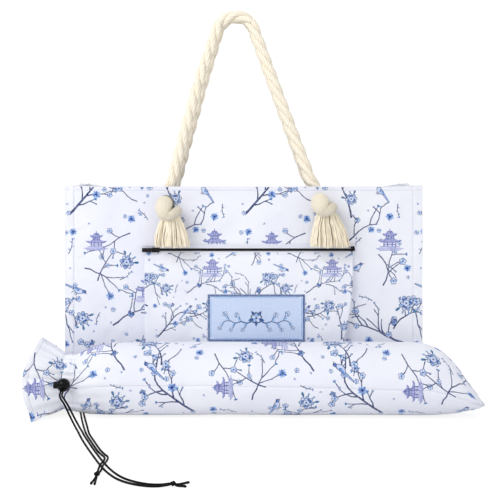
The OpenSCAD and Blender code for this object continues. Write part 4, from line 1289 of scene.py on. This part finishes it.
def makeKnots():
    dice = random.Random(tassel["seed"])
    for front in (True, False):
        turnBack = (1, 1, 1) if front else (1, -1, 1)
        for key, data in knots.items():
            at = np.array(data["at"])
            eyeletAt = np.array([data["sign"] * tote["eyeletX"], -66.0, tote["eyeletZ"]]) - at
            # the rope's end comes out of the eyelet as one soft bulb and turns down
            bulb = [eyeletAt + (0, 8, 0), eyeletAt, *data["bulb"]]
            path = smoothPath([np.array(p, float) + at for p in bulb], 1.6) * turnBack
            far = lengths(path) / lengths(path)[-1]
            parts = [tubePart(path, curveThrough(far, (0, 0.2, 0.4, 0.6, 0.8, 1), data["fat"]), 28)]
            # the turn pulled tight round it slants from lower left to upper right
            a = np.linspace(0, 2 * pi, 60, endpoint=False)
            slant = math.radians(knotTurn["slant"])
            middle = at + np.array(knotTurn["at"])
            across = np.array([math.cos(slant), 0, math.sin(slant)])
            ring = (middle + knotTurn["wide"] * np.cos(a)[:, None] * across
                    + np.sin(a)[:, None] * np.array([0, knotTurn["deep"], 0]))
            radii = knotTurn["thick"] + 0.5 * np.cos(a - 0.6)
            parts.append(tubePart(ring * turnBack, radii, 20, closed=True))
            name = ("front_" if front else "rear_") + key
            addPiece(name + "_knot_rope", "tote", parts, [cottonBundle], [name + "_knot"], "cotton_rope")
            routes = []
            for k in range(tassel["yarns"]):
                spin, reach = dice.uniform(0, 2 * pi), math.sqrt(dice.uniform(0.02, 1))
                ox, oy = reach * math.cos(spin), reach * math.sin(spin)
                top = at + (ox * tassel["topWide"] + 3.4, oy * 8.5, -14.0)
                wide = data["wide"] * (1 + 0.04 * dice.uniform(-1, 1))
                foot = np.array([at[0] + ox * wide + data["lean"] + dice.uniform(-2.5, 2.5),
                                 at[1] + oy * tassel["deep"], tassel["cutZ"] + dice.uniform(0, 4.5)])
                bulge = np.array([ox * 2.4 - (top[0] - foot[0]) * 0.08, oy * 1.5, 0])
                t = np.linspace(0, 1, 12)[:, None]
                routes.append((top * (1 - t) + foot * t + bulge * np.sin(pi * t)) * turnBack)
            grown(name + "_tassel_yarns", "tote", routes, yarnTree,
                  {"Radius": tassel["yarnWidth"] / 2 * mm, "Sides": tassel["sides"],
                   "Wander": tassel["wander"] * mm * 2, "Seed": float(len(name) + dice.randint(0, 9)),
                   "Material": cottonYarn},
                  [name + "_tassel"], "cotton_rope", sharp=80)


makeKnots()
say("knots and tassels are tied")


# pocket
pocketCloth = {"thick": 1.1, "print": 0.68, "corner": 3.2, "cheek": 12.0, "labelCalm": 26,
               "depthAt": (78, 84, 94, 104, 118, 208, 222, 240, 252, 257),
               "depth": (1.6, 2.9, 8.4, 11.4, 12.0, 12.0, 11.2, 7.2, 3.7, 2.9)}


def pocketSurface(u, v):
    # the front of the pocket, turning back to the tote along both sides
    down = np.clip((pocket["high"] - v) / 151, 0, 1.2)
    right = pocket["right"] - 16.5 * down ** 2.4
    left = pocket["left"] + 2.0 * down ** 2
    share = (u - pocket["left"]) / (pocket["right"] - pocket["left"])
    x = left + (right - left) * np.clip(share, 0, 1)
    over = np.maximum(u - pocket["right"], pocket["left"] - u)
    deep = curveThrough(v, pocketCloth["depthAt"], pocketCloth["depth"])
    corner = np.minimum(pocketCloth["corner"], deep * 0.45)
    near = np.minimum(x - left, right - x)
    inside = np.clip(near / corner, 0, 1)
    rounding = corner * (1 - np.sqrt(np.clip(1 - (1 - inside) ** 2, 0, 1)))
    turned = np.clip(over / pocketCloth["cheek"], 0, 1)
    # the cloth lies flat under the label and along the pocket's edges
    away = np.maximum(np.maximum(-66 - u, u - 109), np.maximum(102 - v, v - 192))
    calm = easeIn(away, 0, pocketCloth["labelCalm"]) * easeIn(near, 0, 14)
    calm = calm * easeIn(pocket["high"] - v, 4, 30) * easeIn(v, 84, 110)
    wave = (0.9 * ripple(u * 1.5, v * 1.5, 5.0) - 0.5) * calm
    sag = -1.1 * np.exp(-((v - 246) / 9) ** 2) * np.sin(u / 26 + 1) * easeIn(near, 0, 20) * 0.5
    out = np.where(over > 0, (deep - corner) * (1 - turned), deep - rounding + wave + sag)
    return asRows(x, frontY - np.maximum(out, 0.05), v)


def makePocket():
    p = pocket
    low, high = (p["left"] - pocketCloth["cheek"], p["low"]), (p["right"] + pocketCloth["cheek"], p["high"])
    cut = cutCloth(low, high, pocketCloth["print"], (70.0, 150.0),
                   lines=[(0, p["left"]), (0, p["right"]), (1, p["high"] - 5), (1, p["low"] + 6)])
    parts = clothParts(pocketSurface, low, high, cut, pocketCloth["thick"], 6.0, edges=(None, None, 0, 0.7))
    addPiece("pocket_cloth", "tote", parts, printed, ["pocket_panel"], "printed_cloth")


makePocket()
say("pocket is cut and sewn")


# zip
zipPart = {"tapeLow": 253.5, "tapeHigh": 269.5, "tapeLeft": -172.0, "tapeRight": 190.0, "thick": 1.1,
           "teethLeft": -158.0, "teethRight": 183.0, "pitch": 1.7, "toothDepth": 1.0, "toothWidth": 1.35,
           "wedge": [(182.9, 265.9), (182.9, 259.8), (189.4, 259.6), (189.4, 267.6), (184, 267.3),
                     (176.5, 266.2)],
           "welts": ((263.9, 271.0, 0.75), (252.6, 259.4, 0.0))}


def makeZip():
    z = zipPart

    # woven tape, with white cloth turned over its top and the pocket's hem over its foot
    def tape(u, v):
        return asRows(u, frontY - 1.15 + 0.08 * np.sin(u / 9), v)
    parts = plainParts(tape, (z["tapeLeft"], z["tapeLow"]), (z["tapeRight"], z["tapeHigh"]),
                       z["thick"], 6.0, counts=(90, 9))
    # the tape's end stands up in a small wedge at the right
    wedge = np.array([(x, frontY - lift, v) for lift in (1.2, 2.6) for x, v in z["wedge"]])
    for faces in ([[k, (k + 1) % 6, (k + 1) % 6 + 6, k + 6] for k in range(6)],
                  [[6, 6 + k, 7 + k] for k in range(1, 5)]):
        faces = np.array(faces)
        parts.append({"verts": wedge, "faces": faces, "uv": np.zeros((*faces.shape, 2)),
                      "bake": np.full((*faces.shape, 2), 0.5)})
    addPiece("zip_tape_cloth", "tote", parts, [zipCloth], ["zip_tape"], "zip_cloth")
    welts = []
    for lowV, highV, full in z["welts"]:
        def welt(u, v, full=full):
            # thin where the slider passes over it
            return asRows(u, frontY - 1.35 - full * easeIn(v, 265.8, 268.2) * easeIn(271.4 - v, 0, 2.4), v)
        welts += plainParts(welt, (-173, lowV), (191, highV), 0.5, 6.0, (0.4, 0.4, 0.4, 0.4), (90, 9))
    addPiece("zip_welt_cloth", "tote", welts, [plainCloth], (), "plain_cloth")
    line = [(x, frontY - 2.25, pocket["zip"]) for x in np.linspace(z["teethLeft"], z["teethRight"], 30)]
    grown("zip_teeth_nylon", "tote", [line], toothTree,
          {"Pitch": z["pitch"] * mm, "Half Pitch": 0.62 * mm, "Half Depth": z["toothDepth"] * mm,
           "Half Width": z["toothWidth"] * mm, "Material": nylon}, ["zip_teeth"], "zip_nylon", sharp=40)


makeZip()
say("zip is set in")


# label
label = {"left": -61.0, "low": 107.0, "wide": 165.0, "high": 80.0, "thick": 0.7, "face": 12.15}


def makeLabel():
    # a plain woven patch with a frame of jointed canes and a blossom sprig of its own
    frameInk, tint = "labelFrame", "labelTint"
    for name, colour in (("labelGround", (207, 222, 247)), (frameInk, (26, 82, 146)),
                         (tint, (150, 188, 232))):
        inkNames.append(name)
        inkColours[name] = colour
    table = np.array([rgb(*inkColours[name]) for name in inkNames])
    figures = []
    l, b, w, h = label["left"], label["low"], label["wide"], label["high"]
    for inset, thick, colour in ((1.9, 2.9, frameInk), (5.6, 0.8, tint)):
        x0, x1, y0, y1 = l + inset, l + w - inset, b + inset, b + h - inset
        corners = [(x0, y0), (x1, y0), (x1, y1), (x0, y1)]
        for (ax, ay), (bx, by) in zip(corners, corners[1:] + corners[:1]):
            far = math.hypot(bx - ax, by - ay)
            canes = max(1, int(far / 15.5)) if thick > 1 else 1
            for k in range(canes):
                p, q = [(ax + (bx - ax) * (k + t) / canes, ay + (by - ay) * (k + t) / canes)
                        for t in (0.03, 0.97)]
                stroke([p, ((p[0] + q[0]) / 2, (p[1] + q[1]) / 2), q], thick, thick, colour, figures)
                if thick > 1:
                    blob(p, 1.9, 1.9, 0, colour, 8, figures)
        for corner in corners:
            blob(corner, thick * 0.8, thick * 0.8, 0, colour, 8, figures)
    cx, cy = l + w / 2, b + h / 2
    for side in (-1, 1):
        points = [(cx + side * x, cy + y)
                  for x, y in ((6, -5), (16, -9), (26, -6), (36, -9), (46, -4), (55, -6))]
        stroke(points, 2.0, 1.0, frameInk, figures)
        for k, (x, y) in enumerate(points[1:]):
            up = 1 if k % 2 else -1
            stalk = [(x, y), (x + side * 3, y + up * 7), (x + side * 7, y + up * 10)]
            stroke(stalk, 1.3, 0.8, frameInk, figures)
            blossom((x + side * 7, y + up * 11), 4.6 if k % 2 else 3.8, 0.4 * k, figures)
            petal((x, y), pi / 2 - side * (pi / 2 - 0.7 * up), 8, 3.2, tint, figures)
    blossom((cx, cy), 9.5, 0.3, figures)
    for k, heading in around(0.3 + pi / 5, 5):
        petal((cx, cy), heading, 15, 4.6, frameInk, figures)
    blossom((cx, cy), 8.5, 0.3, figures)
    flat, tris, ink = triangulated((l, b), (l + w, b + h), figures, 8.0)
    ink = np.where(ink == 0, inkNames.index("labelGround"), ink)

    def face(u, v):
        return asRows(u, frontY - label["face"] - label["thick"] - 0.1 * (1 + ripple(u, v, 1)), v)
    parts = clothParts(face, (l, b), (l + w, b + h), (flat, tris, table[ink]), label["thick"], 8.0,
                       (0.6, 0.6, 0.6, 0.6))
    addPiece("label_cloth_patch", "tote", parts, [labelCloth, plainCloth], ["label_patch"], "label_cloth")


makeLabel()
say("label is sewn on")


# mat sack
sack = {"axisY": -123.8, "axisZ": 57.5, "girth": 368.0, "thick": 2.0, "tip": 385.0, "neck": -278.0,
        "channel": -292.0, "mouth": -350.0, "hem": 8.4, "neckZ": 51.0, "turnR": 37.8,
        "turnX": (-286.65, -283.35), "radius": 58.5}
# heights of its top and underside, its half width and how far the top sags, at places along it
sackForm = {
    "top": ((-292, -278, -262, -240, -210, -150, 250, 290, 321, 346, 371.6, 381, 385),
            (93.4, 94.2, 101.5, 110.5, 114.8, 115.7, 115.7, 114.8, 104.8, 82.5, 47.0, 35, 27.5)),
    "low": ((-292, -278, -266, -250, -210, -150, 300, 339, 359, 380, 385),
            (10.4, 6.2, 3.6, 0.8, -0.6, -0.8, -0.8, 1.5, 6.5, 15, 21.5)),
    "wide": ((-292, -278, -262, -240, -210, 300, 340, 367, 378, 385),
             (42.8, 43.2, 48.0, 56.0, 57.9, 58.1, 57.6, 55.5, 51.5, 45.0)),
    "sag": ((-278, -100, 100, 300, 385), (0, 0.5, -2.0, -7.0, -8.0))}


def pleats(theta, share=1.0):
    # folds that run along the sack where the cord gathers it
    return (0.55 * np.cos(23 * theta + 0.8 * np.sin(3 * theta)) + 0.3 * np.cos(14 * theta + 1.9)
            + 0.25 * np.cos(9 * theta + 4.0)) * share


def sackRing(x, theta):
    # a point of the sack's cloth at a place along it, theta from its underside round by the front
    top, low, wide, sag = [curveThrough(x, *sackForm[key]) for key in ("top", "low", "wide", "sag")]
    high, middle = (top - low) / 2, (top + low) / 2
    gather = 2.3 * np.exp(-np.clip(x + 278, 0, None) / 34)
    tuck = 0.9 * np.exp(-((x - 385) / 22) ** 2) * np.cos(theta * 11)
    soft = 0.9 * ripple(x, theta * sack["radius"], 3.0) * easeIn(x, -270, -200) * easeIn(385 - x, 0, 50)
    swell = gather * pleats(theta) + tuck + np.minimum(soft - 0.5, 0.6)
    # it slumps a little towards the front of the floor
    slump = np.exp(-((np.degrees(theta) - 44) / 24) ** 2)
    swell = swell + 2.6 * slump * easeIn(x, -250, -190) * easeIn(370 - x, 0, 80)
    seam = sum(groove((theta - place) * sack["radius"], 1.6, 1.4) for place in (pi / 2, 3 * pi / 2))
    swell = swell - seam * easeIn(x, -270, -200)
    sag = sag * np.sin(theta) ** 4
    y = sack["axisY"] - (wide + swell) * np.sin(theta)
    z = middle - (high + swell) * np.cos(theta) + sag * easeIn(385 - x, 0, 60)
    y = np.minimum(y, frontY - 0.5)
    return asRows(x, y, np.maximum(z, 0.15 + 0.1 * (1 + np.sin(x / 17))))


def sackSurface(u, v):
    # u runs along the sack and v round it
    return sackRing(u, v / sack["girth"] * 2 * pi)


def fromUnder(theta):
    # degrees round from the underside, the same in front and behind
    return np.abs((np.degrees(theta) + 180) % 360 - 180)


def mouthEdge(theta):
    # the open end of the ruffle: it reaches furthest at the sides
    return -333.0 - 16.0 * np.exp(-((fromUnder(theta) - 97) / 40) ** 2)


def ruffleSurface(u, v):
    # it flares from the channel to a mouth with blunt corners on top and on the floor
    theta = v / sack["girth"] * 2 * pi
    # share is 0 at the channel and 1 at the mouth
    share = (sack["channel"] - u) / (sack["channel"] - sack["mouth"])
    inside = np.clip(share, 0, 1)
    x = sack["channel"] + (mouthEdge(theta) - sack["channel"]) * share
    neck = sackRing(np.full_like(theta, sack["channel"]), theta)
    under = fromUnder(theta)
    back = np.sin(theta) < 0
    corner = np.where(back, 7.0, 19.0) * np.exp(-np.abs(under - 43) / 17)
    r = 60.5 + corner + 6.5 * np.exp(-(180 - under) / 15)
    r = r + 2.6 * np.cos(5 * theta + 0.9) + 1.4 * np.cos(8 * theta + 2.0)
    t = (inside ** 0.85)[:, None]
    mouth = asRows(x, sack["axisY"] - r * np.sin(theta), sack["axisZ"] - r * np.cos(theta))
    p = neck * (1 - t) + mouth * t
    out = asRows(0 * theta, -np.sin(theta), -np.cos(theta))
    hem = groove(u - sack["mouth"] - sack["hem"], -0.9) + 0.5 * easeIn(sack["mouth"] + 8 - u, 0, 1.5)
    p = p + out * (1.6 * np.sin(pi * inside) * pleats(theta) + hem)[:, None]
    return asRows(x, np.minimum(p[:, 1], frontY - 0.6), np.maximum(p[:, 2], 0.2))


def makeSack():
    def wrapped(low, high, fine, lines=()):
        # cloth cut to go once round the sack between two places along it
        low, high = (low, 0.0), (high, sack["girth"])
        return low, high, cutCloth(low, high, 1.0, (30.0, 60.0), turned=True, lines=lines, fine=(0, *fine))
    quarter = sack["girth"] / 4
    piece = wrapped(sack["neck"], sack["tip"], (-290, -212, 3.6), [(1, quarter), (1, 3 * quarter)])
    parts = clothParts(sackSurface, *piece, sack["thick"], 8.0, edges=(0.4, None, None, None))
    theta = np.linspace(0, 2 * pi, 73)[:-1]
    end = sackRing(np.full(72, sack["tip"]), theta)
    seam = end * (1, 1, 0) + (0, 0, 24.5) + (1.2, 0, 0)
    faces, places = grid(2, 72, closedColumns=True, flip=True)
    parts.append({"verts": np.vstack([end, seam]), "faces": faces, "ink": np.tile(inkTable[0], (72, 1)),
                  "uv": places * 0.004, "bake": places * (0.0002, 0.001) + (0.98, 0.03)})
    addPiece("sack_cloth", "mat_sack", parts, printed, ["sack_upper", "sack_lower"], "sack_cloth")

    def bandSurface(u, v):
        # the channel is a little fuller than the cloth at either side of it
        p = sackSurface(u, v)
        out = (p - np.array([0, sack["axisY"], sack["neckZ"]])) * (0, 1, 1)
        out /= np.linalg.norm(out, axis=1)[:, None]
        share = (u - sack["channel"]) / (sack["neck"] - sack["channel"])
        return p + out * (1.6 * np.sin(pi * np.clip(share, 0, 1)) ** 0.7)[:, None]
    piece = wrapped(sack["channel"], sack["neck"], (-300, -270, 2.6))
    parts = clothParts(bandSurface, *piece, 1.0, 3.0, edges=(0.5, 0.5, None, None))
    addPiece("neck_channel_cloth", "mat_sack", parts, printed, ["neck_channel"], "sack_cloth")

    # the two turns of drawcord run inside the channel
    a = np.linspace(0, 2 * pi, 96, endpoint=False)
    r = sack["turnR"]
    turns = [asRows(x, sack["axisY"] - r * np.sin(a), sack["neckZ"] - r * np.cos(a)) for x in sack["turnX"]]
    addPiece("channel_cords_braid", "mat_sack", [tubePart(turn, 1.5, 8, closed=True) for turn in turns],
             [blackCord], ["channel_cords"], "drawcord")

    piece = wrapped(sack["mouth"], sack["channel"], (-360, -290, 3.4), [(0, sack["mouth"] + sack["hem"])])
    parts = clothParts(ruffleSurface, *piece, 1.2, 4.0, edges=(0.8, 0.4, None, None))
    addPiece("ruffle_cloth", "mat_sack", parts, printed, ["ruffle"], "sack_cloth")


makeSack()
say("mat sack is sewn and gathered")


# stitching
stitch = {"pitch": 4.4, "reach": 1.55, "radius": 0.42}


def makeStitches():
    inputs = {"Pitch": stitch["pitch"] * mm, "Reach": stitch["reach"] * mm, "Radius": stitch["radius"] * mm,
              "Material": threadYarn}

    def on(surface, us, vs, lift=0.15):
        us, vs = np.broadcast_arrays(np.array(us, float), np.array(vs, float))
        return list(surface(us, vs) + normalsOf(surface, us, vs) * lift)
    routes = []
    for surface in (frontSurface, rearSurface):
        for x in (-tote["seam"], tote["seam"]):
            routes.append(on(surface, x, np.linspace(4, 361, 110)))
        routes.append(on(surface, np.linspace(-half + 3, half - 3, 150), tote["stitchZ"]))
    across = np.linspace(pocket["left"] + 3, pocket["right"] - 3, 90)
    for v in (pocket["high"] - 3.2, pocket["low"] + 3):
        routes.append(on(pocketSurface, across, v))
    routes.append([(x, frontY - 2.15, 269.4) for x in np.linspace(-170, 188, 60)])
    l, b = label["left"] + 1.4, label["low"] + 1.4
    r, t = label["left"] + label["wide"] - 1.4, label["low"] + label["high"] - 1.4
    face = frontY - label["face"] - label["thick"] - 0.28
    routes.append([(x, face, z) for x, z in ((l, b), (r, b), (r, t), (l, t), (l, b))])
    grown("tote_stitches", "tote", routes, stitchTree, inputs, (), "plain_cloth")
    turn = np.linspace(0, sack["girth"], 220)
    routes = [on(surface, u, turn) for surface, u in ((ruffleSurface, sack["mouth"] + sack["hem"]),
                                                      (ruffleSurface, sack["channel"] - 3),
                                                      (sackSurface, sack["neck"] + 5))]
    grown("sack_stitches", "mat_sack", routes, stitchTree, inputs, (), "sack_cloth")


makeStitches()
say("stitches are set")


# CAD nodes that stay, with their finishes
finishes = {
    "base_board": boardStock, "zip_stops": blackMetal, "zip_slider": blackMetal, "zip_pull": blackMetal,
    "cord_lock_body": blackPlastic, "cord_lock_button": blackPlastic, "cord_lock_spring": springWire}
for name, material in finishes.items():
    for slotOf in bpy.data.objects[name].material_slots:
        slotOf.material = material
say("kept pieces have their finishes")


# floor, light and world
studio = {"floor": (246, 246, 248), "glow": 1.17, "glowShare": 0.72, "world": 0.77, "wide": 9.0,
          "bend": 1.6}
lamps = {
    "key": {"at": (-1.25, -1.4, 1.6), "aim": (0, -0.05, 0.2), "power": 23.0, "size": 1.3},
    "fill": {"at": (1.7, -1.6, 1.2), "aim": (0, 0, 0.2), "power": 3.5, "size": 1.6},
    "back": {"at": (0.4, 1.9, 2.2), "aim": (0, 0, 0.3), "power": 12.5, "size": 1.6}}


def makeFloor():
    # a pale floor that bends up behind into a wall
    wide, bend = studio["wide"], studio["bend"]
    profile = [(-7.0, 0.0), (3.0, 0.0)]
    profile += [(3.0 + bend * math.sin(a), bend - bend * math.cos(a))
                for a in np.linspace(0.15, pi / 2, 10)]
    profile.append((3.0 + bend, 7.0))
    verts = [(x, y, z - 0.0004) for y, z in profile for x in (-wide, wide)]
    mesh = bpy.data.meshes.new("floor")
    mesh.from_pydata(verts, [], [(k, k + 1, k + 3, k + 2) for k in range(0, len(verts) - 2, 2)])
    n = Nodes("floor_paint", Roughness=0.9, Specular_IOR_Level=0.1, Base_Color=rgb(*studio["floor"]))
    seen = n.add("LightPath", output="Is Camera Ray")
    glow = n.add("Emission", i0=(1, 1, 1, 1), i1=studio["glow"])
    share = n.math("MULTIPLY", seen, studio["glowShare"])
    blend = n.add("MixShader", i0=share, i1=n.shader.outputs[0], i2=glow)
    n.tree.links.new(blend, n.tree.nodes["Material Output"].inputs[0])
    mesh.materials.append(n.material)
    linked("floor", mesh)


def makeLight():
    world = bpy.data.worlds.new("studio")
    scene.world = world
    world.use_nodes = True
    tree = world.node_tree
    back = tree.nodes["Background"]
    path = tree.nodes.new("ShaderNodeLightPath")
    level = tree.nodes.new("ShaderNodeMapRange")
    level.inputs["To Min"].default_value, level.inputs["To Max"].default_value = studio["world"], 1.0
    tree.links.new(path.outputs["Is Camera Ray"], level.inputs["Value"])
    tree.links.new(level.outputs[0], back.inputs["Strength"])
    back.inputs["Color"].default_value = (1, 1, 1, 1)
    for name, data in lamps.items():
        light = bpy.data.lights.new(name, "AREA")
        light.energy, light.size = data["power"], data["size"]
        lamp = linked(name, light)
        lamp.location = data["at"]
        lamp.visible_camera = False
        lamp.rotation_euler = (Vector(data["aim"]) - Vector(data["at"])).to_track_quat("-Z", "Y").to_euler()


makeFloor()
makeLight()
scene.view_settings.view_transform = "Standard"
